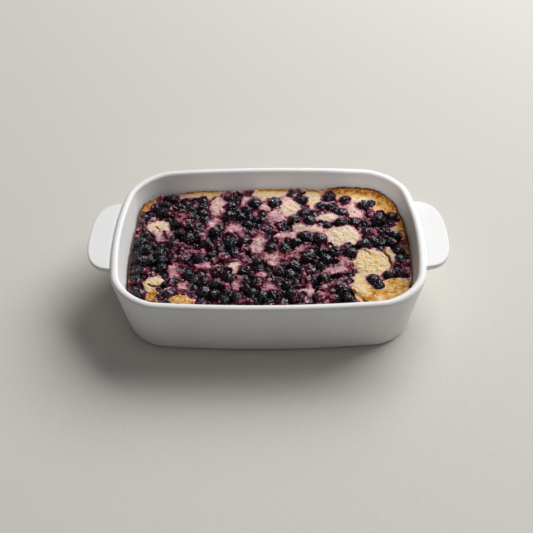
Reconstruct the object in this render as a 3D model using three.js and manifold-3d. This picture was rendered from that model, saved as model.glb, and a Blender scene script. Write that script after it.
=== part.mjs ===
import * as THREE from 'three';
import { mergeVertices } from 'three/addons/utils/BufferGeometryUtils.js';
import Module from 'manifold-3d';

// A blueberry cobbler baked in its white ceramic dish with a tab handle at each end.
// Millimetres, +Z up, +X along the dish, origin on the table under the middle of the dish.

// Baking dish
const DISH_LENGTH = 270;
const DISH_WIDTH = 188;
const DISH_HEIGHT = 60;
const RIM_CORNER_RADIUS = 38;
const END_BOW = 10.6;
const SIDE_BOW = 6.8;
const WALL_LEAN = 9.4;
const CORNER_TAPER = 11;
const WALL_THICKNESS = 6.4;
const FOOT_ROUNDING = 3.5;
const FLOOR_THICKNESS = 6;
const FLOOR_FILLET = 9;

// Tab handles
const HANDLE_REACH = 156;
const HANDLE_ROOT_X = 130;
const HANDLE_HALF_WIDTH = 43.2;
const HANDLE_SQUARENESS = 2.7;
const HANDLE_TOP = 57.5;
const HANDLE_THICKNESS = 4.4;
const HANDLE_EDGE_ROUNDING = 1.2;

// Batter
const FIT_GAP = 0.4;
const BATTER_LEVEL = 38.4;
const BATTER_PUFF = 2.2;
const PUFF_MARGIN = 2;
const BATTER_WAVE = 0.5;
const WAVE_STRETCH_X = 13;
const WAVE_STRETCH_Y = 11;
const WAVE_STRETCH_ACROSS = 7.5;
const WAVE_START = 1.1;
const WALL_SHRINKAGE = 3.4;
const BACK_SHRINKAGE = 0.25;
const SHRINK_DEPTH = 9;
const SHRINK_SHARE_BELOW = 0.6;
const CRUST_WIDTH = 3.4;
const CRUST_LIP = 1.2;
const CRUST_RISE = 5;
const CRUST_MIDDLE = Math.PI / 5;
const CRUST_STEP_X = 57;
const CRUST_STEP_SHARE = 0.35;
const CRUST_NICK_DEPTH = 0.15;
const CRUST_NICKS = 13;
const CRUST_NICK_SWELLS = 5;
const FLAKE_RISE = 5;
const FLAKE_MIDDLE = Math.PI * 0.805;
const FLAKE_SHARPNESS = 60;

// Berries
const BERRY_SEED = 20417;
const BERRY_RADIUS_MIN = 4.7;
const BERRY_RADIUS_MAX = 6.3;
const BERRY_FLATNESS = 0.87;
const BERRY_OVALNESS = 0.06;
const BERRY_SPACING = 0.93;
const BERRY_TRIES = 9000;
const WALL_CLEARANCE = 1.06;
const PATCH_CLEARANCE = 0.8;
const CRUST_CLEARANCE = 0.5;
const BERRY_SINK = 0.15;
const BERRY_LIFT = 0.35;
const LOOSE_BERRIES = 57;
const LOOSE_ROOM = 1.08;
const WIDEST_SPREAD = 24;
const SPREAD_STEP = 0.25;
const SOCKET_GAP = 0.4;

// Number of straight steps in the round stretches
const CORNER_STEPS = 6;
const SIDE_STEPS = 6;
const END_STEPS = 4;
const ROUNDING_STEPS = 3;
const RIM_STEPS = 4;
const HANDLE_STEPS = 16;
const EDGE_STEPS = 2;
const TOP_RINGS = 7;
const LOOSE_BERRY_SIDES = 6;
const FUSED_BERRY_SIDES = 5;

// Places where the batter shows bare between the berries.
// Each is x, y, half length, half width and turn in degrees.
const BARE_PATCHES = [
  [-118, 57, 6, 14, -10],
  [-101, 31, 12, 7, 15],
  [-99, 17, 5, 8, 15],
  [-98, -43, 8, 9, 0],
  [-97, -57, 5, 5, 0],
  [-82, -28, 6, 10, 10],
  [-81, 48, 13, 4, -5],
  [-79, 73, 8, 5, 10],
  [-72, -63, 11, 6, -5],
  [-71, -45, 6, 6, 0],
  [-70, -5, 19, 4, -3],
  [-66, 30, 3, 10, 0],
  [-61, 78, 16, 6, 10],
  [-57, -23, 8, 6, 10],
  [-50, 32, 9, 4, 10],
  [-47, 60, 7, 15, -8],
  [-46, 3, 5, 7, 0],
  [-31, 26, 10, 8, -15],
  [-29, -23, 5, 6, 0],
  [-26, -44, 4, 10, -20],
  [-21, 66, 5, 9, 0],
  [-9, 5, 6, 14, -20],
  [-8, -33, 7, 4, 25],
  [-4, 57, 4, 8, 0],
  [2, 78, 18, 7, 0],
  [3, -48, 9, 4, -35],
  [5, -17, 8, 6, 0],
  [6, 42, 8, 8, 0],
  [16, 17, 12, 6, 10],
  [20, 58, 11, 14, 15],
  [22, -12, 8, 4, -20],
  [33, -55, 4, 6, 0],
  [33, 1, 8, 4, 0],
  [37, 27, 17, 5, -4],
  [42, 71, 8, 12, 0],
  [41, 54, 6, 5, 0],
  [55, -44, 7, 4, 0],
  [56, 41, 16, 5, -5],
  [57, -30, 12, 4, 5],
  [66, -17, 5, 6, 0],
  [67, 17, 18, 14, -10],
  [78, -46, 8, 15, 0],
  [82, 51, 7, 13, 0],
  [90, -20, 18, 20, 15],
  [91, 74, 33, 12, -6],
  [98, -58, 27, 10, 5],
  [107, -9, 4, 10, 10],
  [108, -45, 12, 5, 0],
  [110, 60, 12, 13, 20],
  [118, 26, 6, 6, 0],
];

// Single berries that lie in the bare batter: x, y and radius.
const SINGLE_BERRIES = [
  [-13, 63, 6.3],
  [6, 64, 6.6],
  [25, 76, 6],
  [32, 67, 6],
  [58, 73, 6],
  [73, 67, 5],
  [50, 58, 5.8],
  [60, 56, 6.2],
  [68, 48, 6],
  [89, 57, 6],
  [97, 61, 4.2],
  [33, 47, 6],
  [24, 39, 6],
  [38, 36, 6],
  [54, 30, 4.3],
  [66, 34, 4.7],
  [80, 35, 5.4],
  [47, 11, 6.3],
  [33, 16, 5.8],
  [86, 4, 5.6],
  [95, 7, 5],
  [47, -4, 5],
  [59, -6, 6],
  [72, -7, 6.3],
  [89, -40, 5.8],
  [93, -48, 5.2],
  [103, -35, 4.8],
  [113, -34, 4.8],
];

// The crust's lip from the wall inwards: depth inside the edge and share of the crust's rise.
const CRUST_PROFILE = [[0, 1], [CRUST_LIP, 0.9], [CRUST_WIDTH, 0.3]];

// Profiles from bottom to top, as shares of a berry's radius and half height. A loose berry is a
// flattened ball, a fused one has a plain cone below, where the batter hides it, and the cup of a
// socket stays open above the berry's middle.
const BERRY_PROFILE = [[0, -1], [0.707, -0.707], [1, 0], [0.707, 0.707], [0, 1]];
const FUSED_PROFILE = [[0, -1], [1, -0.1], [0.76, 0.64], [0, 1]];
const CUP_PROFILE = [[0, -1], [0.66, -1], [1, 0], [1, 1.2], [0, 1.2]];

const RADIANS = Math.PI / 180;
const MERGE_DISTANCE = 1e-4;
const LARGEST_STATE = 2 ** 32;
const wasm = await Module();
wasm.setup();

// Booleans
function toManifold(geometry) {
  const bare = geometry.clone();
  bare.deleteAttribute('normal');
  bare.deleteAttribute('uv');
  const merged = mergeVertices(bare, MERGE_DISTANCE);
  return new wasm.Manifold(new wasm.Mesh({
    numProp: 3,
    vertProperties: new Float32Array(merged.attributes.position.array),
    triVerts: new Uint32Array(merged.index.array),
  }));
}

function toGeometry(manifold) {
  const mesh = manifold.getMesh();
  const geometry = new THREE.BufferGeometry();
  geometry.setAttribute('position', new THREE.BufferAttribute(new Float32Array(mesh.vertProperties), 3));
  geometry.setIndex(new THREE.BufferAttribute(new Uint32Array(mesh.triVerts), 1));
  geometry.computeVertexNormals();
  return geometry;
}

// The largest connected body, without the scraps that a cut leaves.
function largestBody(manifold) {
  const bodies = manifold.decompose();
  return bodies.reduce((best, body) => (body.volume() > best.volume() ? body : best));
}

// The outline of the dish: a rounded rectangle whose ends and sides bow outwards.
function bow(x, y, halfX, halfY) {
  const u = x / halfX;
  const v = y / halfY;
  return [x - u * END_BOW * v * v, y - v * SIDE_BOW * u * u];
}

// Half sizes and corner radius of the outer wall at a height, moved inwards by an inset.
function wallSize(z, inset) {
  const lean = WALL_LEAN * (1 - z / DISH_HEIGHT);
  const corner = RIM_CORNER_RADIUS - CORNER_TAPER * (1 - z / DISH_HEIGHT);
  return {
    halfX: DISH_LENGTH / 2 - lean - inset,
    halfY: DISH_WIDTH / 2 - lean - inset,
    corner: Math.max(corner - inset, 1),
  };
}

// One ring of points at a height, anticlockwise seen from above.
function ring(z, inset, wallHeight = z) {
  const { halfX, halfY, corner } = wallSize(wallHeight, inset);
  const flatX = halfX - corner;
  const flatY = halfY - corner;
  const quadrants = [[1, 1], [-1, 1], [-1, -1], [1, -1]];
  const points = [];
  quadrants.forEach(([signX, signY], quadrant) => {
    for (let step = 0; step <= CORNER_STEPS; step += 1) {
      const angle = (quadrant + step / CORNER_STEPS) * (Math.PI / 2);
      points.push([signX * flatX + corner * Math.cos(angle), signY * flatY + corner * Math.sin(angle)]);
    }
    const [nextX, nextY] = quadrants[(quadrant + 1) % 4];
    const alongSide = quadrant % 2 === 0;
    const steps = alongSide ? SIDE_STEPS : END_STEPS;
    const [fromX, fromY] = points[points.length - 1];
    const toX = alongSide ? nextX * flatX : fromX;
    const toY = alongSide ? fromY : nextY * flatY;
    for (let step = 1; step < steps; step += 1) {
      const t = step / steps;
      points.push([fromX + (toX - fromX) * t, fromY + (toY - fromY) * t]);
    }
  });
  return points.map(([x, y]) => [...bow(x, y, halfX, halfY), z]);
}

// A closed solid through a row of rings, shut at each end by a fan to a middle point.
function loft(rings, endHeight) {
  const count = rings[0].length;
  const positions = [...rings.flat(), [0, 0, rings[0][0][2]], [0, 0, endHeight]].flat();
  const start = rings.length * count;
  const end = start + 1;
  const last = (rings.length - 1) * count;
  const index = [];
  for (let j = 0; j < count; j += 1) {
    const k = (j + 1) % count;
    index.push(start, k, j);
    index.push(end, last + j, last + k);
    for (let i = 0; i < rings.length - 1; i += 1) {
      const low = i * count;
      const high = low + count;
      index.push(low + j, low + k, high + k);
      index.push(low + j, high + k, high + j);
    }
  }
  const geometry = new THREE.BufferGeometry();
  geometry.setAttribute('position', new THREE.Float32BufferAttribute(positions, 3));
  geometry.setIndex(index);
  return geometry;
}

// Rings of the dish's outside, from the foot up to the rim.
function outerRings() {
  const rings = [];
  for (let step = 0; step <= ROUNDING_STEPS; step += 1) {
    const angle = (step / ROUNDING_STEPS) * (Math.PI / 2);
    const z = FOOT_ROUNDING * (1 - Math.cos(angle));
    rings.push(ring(z, FOOT_ROUNDING * (1 - Math.sin(angle))));
  }
  return rings;
}

// Rings of the inner fillet, moved away from the ceramic by a gap, from the wall down to the floor.
function cavityRings(gap) {
  const rings = [];
  const centreHeight = FLOOR_THICKNESS + FLOOR_FILLET;
  for (let step = 0; step <= ROUNDING_STEPS; step += 1) {
    const angle = (step / ROUNDING_STEPS) * (Math.PI / 2);
    const z = centreHeight - (FLOOR_FILLET - gap) * Math.sin(angle);
    const inset = WALL_THICKNESS + FLOOR_FILLET - (FLOOR_FILLET - gap) * Math.cos(angle);
    rings.push(ring(z, inset, centreHeight));
  }
  return rings;
}

// Rings of the half-round rim, from the outer wall over to the inner wall.
function rimRings() {
  const rings = [];
  const radius = WALL_THICKNESS / 2;
  for (let step = 0; step <= RIM_STEPS; step += 1) {
    const angle = (step / RIM_STEPS) * Math.PI;
    const z = DISH_HEIGHT - radius + radius * Math.sin(angle);
    rings.push(ring(z, radius - radius * Math.cos(angle), DISH_HEIGHT - radius));
  }
  return rings;
}

// One tab handle: a flat plate, half a superellipse seen from above, its root buried in the end wall.
function handleSolid(side) {
  const outline = [];
  for (let step = 0; step <= HANDLE_STEPS; step += 1) {
    const angle = (step / HANDLE_STEPS - 0.5) * Math.PI;
    const out = Math.abs(Math.cos(angle)) ** (2 / HANDLE_SQUARENESS);
    const across = Math.sign(angle) * Math.abs(Math.sin(angle)) ** (2 / HANDLE_SQUARENESS);
    const x = HANDLE_ROOT_X + (HANDLE_REACH - HANDLE_ROOT_X) * out;
    outline.push(new THREE.Vector2(x, HANDLE_HALF_WIDTH * across));
  }
  const plate = new THREE.ExtrudeGeometry(new THREE.Shape(outline), {
    depth: HANDLE_THICKNESS - 2 * HANDLE_EDGE_ROUNDING,
    bevelEnabled: true,
    bevelThickness: HANDLE_EDGE_ROUNDING,
    bevelSize: HANDLE_EDGE_ROUNDING,
    bevelOffset: -HANDLE_EDGE_ROUNDING,
    bevelSegments: EDGE_STEPS,
  });
  plate.translate(0, 0, HANDLE_TOP - HANDLE_THICKNESS + HANDLE_EDGE_ROUNDING);
  if (side < 0) plate.rotateZ(Math.PI);
  return toManifold(plate);
}

function dishSolid() {
  const shell = toManifold(loft([...outerRings(), ...rimRings(), ...cavityRings(0)], FLOOR_THICKNESS));
  return shell.add(handleSolid(1)).add(handleSolid(-1));
}

// How strongly a bare patch reaches a point: 1 at its middle, 0 from its edge outwards.
function patchReach(x, y, [patchX, patchY, halfLength, halfWidth, turn], margin = 0) {
  const angle = turn * RADIANS;
  const dx = x - patchX;
  const dy = y - patchY;
  const along = (dx * Math.cos(angle) + dy * Math.sin(angle)) / (halfLength + margin);
  const across = (dy * Math.cos(angle) - dx * Math.sin(angle)) / (halfWidth + margin);
  return Math.max(0, 1 - along * along - across * across);
}

// Height of the batter, puffed up where it is bare and gently uneven all over.
function batterHeight(x, y) {
  const puff = Math.max(...BARE_PATCHES.map((patch) => patchReach(x, y, patch, PUFF_MARGIN)));
  const long = Math.sin(x / WAVE_STRETCH_X + WAVE_START) * Math.cos(y / WAVE_STRETCH_Y);
  const short = Math.sin((x + y) / WAVE_STRETCH_ACROSS) / 2;
  return BATTER_LEVEL + BATTER_PUFF * Math.sqrt(puff) + BATTER_WAVE * (long + short);
}

// How far the batter has shrunk from the wall: most at the left end, least at the right and the front.
function shrinkage(x, y) {
  const left = Math.max(0, -x / (DISH_LENGTH / 2));
  const back = Math.max(0, y / (DISH_WIDTH / 2));
  return WALL_SHRINKAGE * Math.min(1, left ** 3 + BACK_SHRINKAGE * back ** 2);
}

// Depth of a point inside the top outline of the batter, positive inside.
function depthInside(x, y) {
  const { halfX, halfY, corner } = wallSize(BATTER_LEVEL, WALL_THICKNESS + FIT_GAP);
  let flatX = x;
  let flatY = y;
  for (let pass = 0; pass < 3; pass += 1) {
    flatX = x / (1 - (END_BOW / halfX) * (flatY / halfY) ** 2);
    flatY = y / (1 - (SIDE_BOW / halfY) * (flatX / halfX) ** 2);
  }
  const overX = Math.abs(flatX) - (halfX - corner);
  const overY = Math.abs(flatY) - (halfY - corner);
  const outside = Math.hypot(Math.max(overX, 0), Math.max(overY, 0));
  return corner - outside - Math.min(Math.max(overX, overY), 0) - shrinkage(x, y);
}

// Height of the browned crust above the batter: tall at the right and the back corner there, low
// along the back from a step onwards, with a raised flake at the left.
function crustRise(x, y) {
  const angle = Math.atan2(y / DISH_WIDTH, x / DISH_LENGTH);
  const main = Math.max(0, Math.cos(angle - CRUST_MIDDLE)) ** 2;
  const flake = Math.max(0, Math.cos(angle - FLAKE_MIDDLE)) ** FLAKE_SHARPNESS;
  const nicks = Math.sin(CRUST_NICKS * angle) * Math.cos(CRUST_NICK_SWELLS * angle);
  const ragged = 1 - CRUST_NICK_DEPTH * (1 - nicks);
  const step = y > 0 && x < CRUST_STEP_X ? CRUST_STEP_SHARE : 1;
  return (CRUST_RISE * main * step + FLAKE_RISE * flake) * ragged;
}

// A ring of the batter's outside at a depth inside its edge, pulled in by a share of the shrinkage.
function batterRing(z, inset, share) {
  return ring(z, WALL_THICKNESS + FIT_GAP + inset).map(([x, y]) => {
    const scale = 1 - (share * shrinkage(x, y)) / Math.hypot(x, y);
    return [x * scale, y * scale, z];
  });
}

// The batter on its own: up the hollow of the dish, over the crust and across the uneven top.
function batterBody() {
  const onTop = (points, crustShare) => points.map(([x, y]) => {
    return [x, y, batterHeight(x, y) + crustShare * crustRise(x, y)];
  });
  const middleRing = batterRing(BATTER_LEVEL, 2 * CRUST_WIDTH, 1);
  const rings = [
    ...cavityRings(FIT_GAP).reverse(),
    batterRing(BATTER_LEVEL - SHRINK_DEPTH, 0, SHRINK_SHARE_BELOW),
    ...CRUST_PROFILE.map(([inset, share]) => onTop(batterRing(BATTER_LEVEL, inset, 1), share)),
  ];
  for (let step = 0; step < TOP_RINGS; step += 1) {
    const scale = 1 - step / TOP_RINGS;
    rings.push(onTop(middleRing.map(([x, y]) => [x * scale, y * scale]), 0));
  }
  return toManifold(loft(rings, batterHeight(0, 0)));
}

// Repeatable random numbers from 0 to 1.
function randomSource(seed) {
  let state = seed;
  return () => {
    state = (Math.imul(state, 1664525) + 1013904223) >>> 0;
    return state / LARGEST_STATE;
  };
}

// All berries: the single ones in the bare batter, then a close cover wherever the batter isn't bare.
function layOutBerries() {
  const random = randomSource(BERRY_SEED);
  const berries = SINGLE_BERRIES.map(([x, y, radius]) => ({ x, y, radius }));
  for (let attempt = 0; attempt < BERRY_TRIES; attempt += 1) {
    const x = (random() - 0.5) * DISH_LENGTH;
    const y = (random() - 0.5) * DISH_WIDTH;
    const radius = BERRY_RADIUS_MIN + (BERRY_RADIUS_MAX - BERRY_RADIUS_MIN) * random();
    const bare = BARE_PATCHES.some((patch) => patchReach(x, y, patch, radius * PATCH_CLEARANCE) > 0);
    const crowded = berries.some((berry) => {
      const room = BERRY_SPACING * (berry.radius + radius);
      return Math.hypot(berry.x - x, berry.y - y) < room;
    });
    const edgeRoom = radius * WALL_CLEARANCE + crustRise(x, y) * CRUST_CLEARANCE;
    if (!bare && !crowded && depthInside(x, y) > edgeRoom) berries.push({ x, y, radius });
  }
  berries.forEach((berry) => {
    const lift = (BERRY_LIFT + BERRY_SINK) * random() - BERRY_SINK;
    berry.z = batterHeight(berry.x, berry.y) + lift * berry.radius;
    berry.turn = random() * Math.PI;
    berry.stretch = 1 + BERRY_OVALNESS * (2 * random() - 1);
  });
  return berries;
}

// The loose ones: the largest first, spread evenly, and clear of each other.
function chooseLoose(berries) {
  const bySize = [...berries].sort((a, b) => b.radius - a.radius);
  for (let spread = WIDEST_SPREAD; spread > 0; spread -= SPREAD_STEP) {
    const chosen = [];
    bySize.forEach((berry) => {
      const clear = chosen.every((other) => {
        const apart = Math.hypot(other.x - berry.x, other.y - berry.y);
        return apart > Math.max(spread, (other.radius + berry.radius) * LOOSE_ROOM + FIT_GAP);
      });
      if (clear && chosen.length < LOOSE_BERRIES) chosen.push(berry);
    });
    if (chosen.length === LOOSE_BERRIES) return chosen;
  }
  throw new Error('too few berries for the loose ones');
}

// A many-sided turned body about its own centre, from a profile in shares of the berry's size.
function turned(profile, sides, berry, grow) {
  const radius = berry.radius + grow;
  const half = berry.radius * BERRY_FLATNESS + grow;
  const points = profile.map(([across, up]) => new THREE.Vector2(across * radius, up * half));
  const body = new THREE.LatheGeometry(points, sides);
  body.rotateX(Math.PI / 2);
  body.scale(berry.stretch, 1 / berry.stretch, 1);
  body.rotateZ(berry.turn);
  return body;
}

function placed(body, { x, y, z }) {
  return toManifold(body.translate(x, y, z));
}

// The batter with its crust, the fused berries and a socket under each loose one.
function batterSolid(berries, loose) {
  const fused = berries.filter((berry) => !loose.includes(berry));
  const lump = (berry) => placed(turned(FUSED_PROFILE, FUSED_BERRY_SIDES, berry, 0), berry);
  const cup = (berry) => placed(turned(CUP_PROFILE, LOOSE_BERRY_SIDES, berry, SOCKET_GAP), berry);
  const body = wasm.Manifold.union([batterBody(), ...fused.map(lump)]);
  return largestBody(body.subtract(wasm.Manifold.union(loose.map(cup))));
}

// Finishes
const CERAMIC = new THREE.MeshStandardMaterial({ color: 0xe9e8e4, roughness: 0.35, metalness: 0 });
const BAKED_BATTER = new THREE.MeshStandardMaterial({ color: 0xb58a72, roughness: 0.8, metalness: 0 });
const BERRY_SKIN = new THREE.MeshStandardMaterial({ color: 0x1d1420, roughness: 0.4, metalness: 0 });

function namedMesh(name, geometry, material) {
  const mesh = new THREE.Mesh(geometry, material);
  mesh.name = name;
  return mesh;
}

// Assembly
const berries = layOutBerries();
const looseBerries = chooseLoose(berries);
const cobbler = new THREE.Group();
cobbler.add(namedMesh('baking_dish', toGeometry(dishSolid()), CERAMIC));
cobbler.add(namedMesh('cobbler_batter', toGeometry(batterSolid(berries, looseBerries)), BAKED_BATTER));
looseBerries.forEach((berry, i) => {
  const name = `berry_${String(i + 1).padStart(2, '0')}`;
  const mesh = namedMesh(name, turned(BERRY_PROFILE, LOOSE_BERRY_SIDES, berry, 0), BERRY_SKIN);
  mesh.position.set(berry.x, berry.y, berry.z);
  cobbler.add(mesh);
});

export default cobbler;
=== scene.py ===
"""A blueberry cobbler in its white ceramic baking dish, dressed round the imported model.

Sizes are millimetres in the object's own frame: +X along the dish, +Y to its back, +Z up. They
become metres where a mesh, a light or the camera is made.
"""

import logging
import math
from collections.abc import Iterator
from dataclasses import dataclass, field
from enum import Enum

import bmesh
import bpy
import numpy as np
from mathutils import Matrix, Vector


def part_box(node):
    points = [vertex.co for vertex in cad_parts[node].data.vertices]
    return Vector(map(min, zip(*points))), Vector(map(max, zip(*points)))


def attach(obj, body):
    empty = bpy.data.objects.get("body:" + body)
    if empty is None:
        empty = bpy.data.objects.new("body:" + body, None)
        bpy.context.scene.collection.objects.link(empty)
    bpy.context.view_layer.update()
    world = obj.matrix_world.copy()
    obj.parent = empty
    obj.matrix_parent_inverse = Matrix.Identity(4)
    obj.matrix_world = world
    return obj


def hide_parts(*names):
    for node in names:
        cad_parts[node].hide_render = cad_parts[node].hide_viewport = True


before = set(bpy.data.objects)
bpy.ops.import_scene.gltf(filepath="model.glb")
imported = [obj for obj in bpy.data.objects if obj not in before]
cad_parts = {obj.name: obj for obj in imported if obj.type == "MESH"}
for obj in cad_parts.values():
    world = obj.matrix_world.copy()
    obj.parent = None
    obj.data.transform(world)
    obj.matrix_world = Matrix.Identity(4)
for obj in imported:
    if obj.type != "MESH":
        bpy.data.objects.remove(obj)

LOG = logging.getLogger("cobbler")
MM = 0.001
BODY = "root"
TINY = 1e-9
Array = np.ndarray
Plan = tuple[Array, Array]
Triple = tuple[float, float, float]
Floats = tuple[float, ...]
Socket = bpy.types.NodeSocket
FAR = 99.0
PART_SIZE = 16000


def srgb(red: int, green: int, blue: int) -> tuple[float, float, float, float]:
    """Turns a display colour of 0 to 255 into the linear colour that a shader takes.

    Args:
        red: The display value of red.
        green: The display value of green.
        blue: The display value of blue.

    Returns:
        The linear colour with full alpha.
    """
    parts = []
    for value in (red, green, blue):
        share = value / 255
        parts.append(share / 12.92 if share <= 0.04045 else ((share + 0.055) / 1.055) ** 2.4)
    return (parts[0], parts[1], parts[2], 1.0)


def ease(low: float, high: float, values: Array) -> Array:
    """Rises smoothly from 0 at low to 1 at high.

    Args:
        low: The value where the rise starts.
        high: The value where it ends.
        values: The values to look up.

    Returns:
        The eased shares, in the shape of the values.
    """
    share = np.clip((values - low) / (high - low), 0.0, 1.0)
    return share * share * (3.0 - 2.0 * share)


def bell(values: Array, width: float) -> Array:
    """A smooth bump: 1 at zero, about a third at one width."""
    return np.exp(-((values / width) ** 2))


def mix(low: Array, high: Array, share: Array) -> Array:
    """Goes from low to high as the share goes from 0 to 1."""
    return low + (high - low) * share


@dataclass(frozen=True)
class Noise:
    """Smooth repeatable unevenness at points in space, worked out for whole arrays.

    Attributes:
        seed: Sets one pattern apart from another.
    """

    seed: int

    def scatter(self, cells: Array, salt: int) -> Array:
        """Gives each whole-numbered cell a number from 0 to 1.

        Args:
            cells: Whole numbers, three in the last axis.
            salt: Sets one draw apart from another in the same cell.

        Returns:
            The numbers, one for each cell.
        """
        mixed = cells[..., 0] * 73856093 ^ cells[..., 1] * 19349663 ^ cells[..., 2] * 83492791
        mixed = (mixed ^ (self.seed * 1013 + salt * 7919) * 2654435761) & 0xFFFFFFFF
        mixed = ((mixed ^ (mixed >> 15)) * 2246822519) & 0xFFFFFFFF
        mixed = ((mixed ^ (mixed >> 13)) * 3266489917) & 0xFFFFFFFF
        return ((mixed ^ (mixed >> 16)) & 0xFFFFFF) / 0x1000000

    def smooth(self, points: Array, size: float) -> Array:
        """Gradient noise whose swells are about one size apart.

        Args:
            points: Places, three coordinates in the last axis.
            size: The distance between swells, in the unit of the points.

        Returns:
            Values from about -1 to 1.
        """
        scaled = points / size
        cells = np.floor(scaled).astype(np.int64)
        inside = scaled - cells
        fade = inside**3 * (inside * (inside * 6 - 15) + 10)
        total = np.zeros(points.shape[:-1])
        for corner in np.ndindex(2, 2, 2):
            step = np.array(corner)
            away = inside - step
            slope = sum((2 * self.scatter(cells + step, axis) - 1) * away[..., axis] for axis in range(3))
            total += slope * np.prod(np.where(step == 1, fade, 1 - fade), axis=-1)
        return total * 1.6

    def layered(self, points: Array, size: float, layers: int, keep: float = 0.5) -> Array:
        """Adds finer and weaker noise to the coarse one.

        Args:
            points: Places, three coordinates in the last axis.
            size: The distance between the coarsest swells.
            layers: How many times the size is halved, plus one.
            keep: The strength of each layer as a share of the one before.

        Returns:
            Values from about -1 to 1.
        """
        total = np.zeros(points.shape[:-1])
        for layer in range(layers):
            total += keep**layer * self.smooth(points + 17.3 * layer, size / 2**layer)
        return total

    def cells(self, points: Array, size: float) -> Array:
        """Distance to the nearest of scattered seeds, one to a cell.

        Args:
            points: Places, three coordinates in the last axis.
            size: The side of a cell.

        Returns:
            The distance as a share of the size.
        """
        scaled = points / size
        base = np.floor(scaled).astype(np.int64)
        nearest = np.full(points.shape[:-1], FAR)
        for offset in np.ndindex(3, 3, 3):
            cell = base + np.array(offset) - 1
            seeds = cell + np.stack([self.scatter(cell, axis) for axis in range(3)], axis=-1)
            nearest = np.minimum(nearest, np.linalg.norm(scaled - seeds, axis=-1))
        return nearest


def flat_points(x: Array, y: Array, z: float = 0.0) -> Array:
    """Puts plan coordinates into points for the noise."""
    return np.stack([x, y, np.full_like(x, z)], axis=-1)


def square_loop(steps_x: int, steps_y: int) -> Plan:
    """The border of a square grid, anticlockwise seen from above.

    Args:
        steps_x: Steps along the first side.
        steps_y: Steps along the second side.

    Returns:
        Two arrays of square coordinates from -1 to 1.
    """
    along = np.linspace(-1, 1, steps_x + 1)
    across = np.linspace(-1, 1, steps_y + 1)
    u = np.concatenate([along[:-1], np.ones(steps_y), along[:0:-1], -np.ones(steps_y)])
    v = np.concatenate([-np.ones(steps_x), across[:-1], np.ones(steps_x), across[:0:-1]])
    return u, v


def border(numbers: Array) -> Array:
    """The border of a grid of point numbers, in the order of square_loop."""
    return np.concatenate([numbers[:-1, 0], numbers[-1, :-1], numbers[:0:-1, -1], numbers[0, :0:-1]])


def square_grid(steps_x: int, steps_y: int) -> list[Array]:
    """The two coordinates of a square grid's points, from -1 to 1."""
    return np.meshgrid(*(np.linspace(-1, 1, count + 1) for count in (steps_x, steps_y)), indexing="ij")


def set_down(bodies: Array, turns: Array, middles: Array) -> Array:
    """Turns bodies about the vertical and sets each down in its place.

    Args:
        bodies: Points of each body, round its own middle.
        turns: Turn of each body, in radians.
        middles: Place of each body's middle.

    Returns:
        The points in their places.
    """
    cos_turn, sin_turn = np.cos(turns)[:, None], np.sin(turns)[:, None]
    x, y, z = bodies[..., 0], bodies[..., 1], bodies[..., 2]
    turned = np.stack([x * cos_turn - y * sin_turn, x * sin_turn + y * cos_turn, z], axis=-1)
    return turned + middles[:, None]


def take_triangles(shape: bmesh.types.BMesh) -> Array:
    """Takes the point numbers of a shape's triangles and frees the shape."""
    shape.verts.index_update()
    triangles = np.array([[vert.index for vert in face.verts] for face in shape.faces])
    shape.free()
    return triangles


def distances_in_parts(x: Array, y: Array, middles: Array) -> Iterator[tuple[slice, Array]]:
    """Measures from many points to the berries' middles in plan, a part of the points at a time.

    Args:
        x: Places of the points along the dish.
        y: Their places across it.
        middles: The berries' middles, in the first two columns.

    Yields:
        The part, and the distances with a row for each of its points.
    """
    flat_x, flat_y = x.ravel(), y.ravel()
    for start in range(0, flat_x.size, PART_SIZE):
        part = slice(start, start + PART_SIZE)
        yield part, np.hypot(flat_x[part, None] - middles[:, 0], flat_y[part, None] - middles[:, 1])


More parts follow.
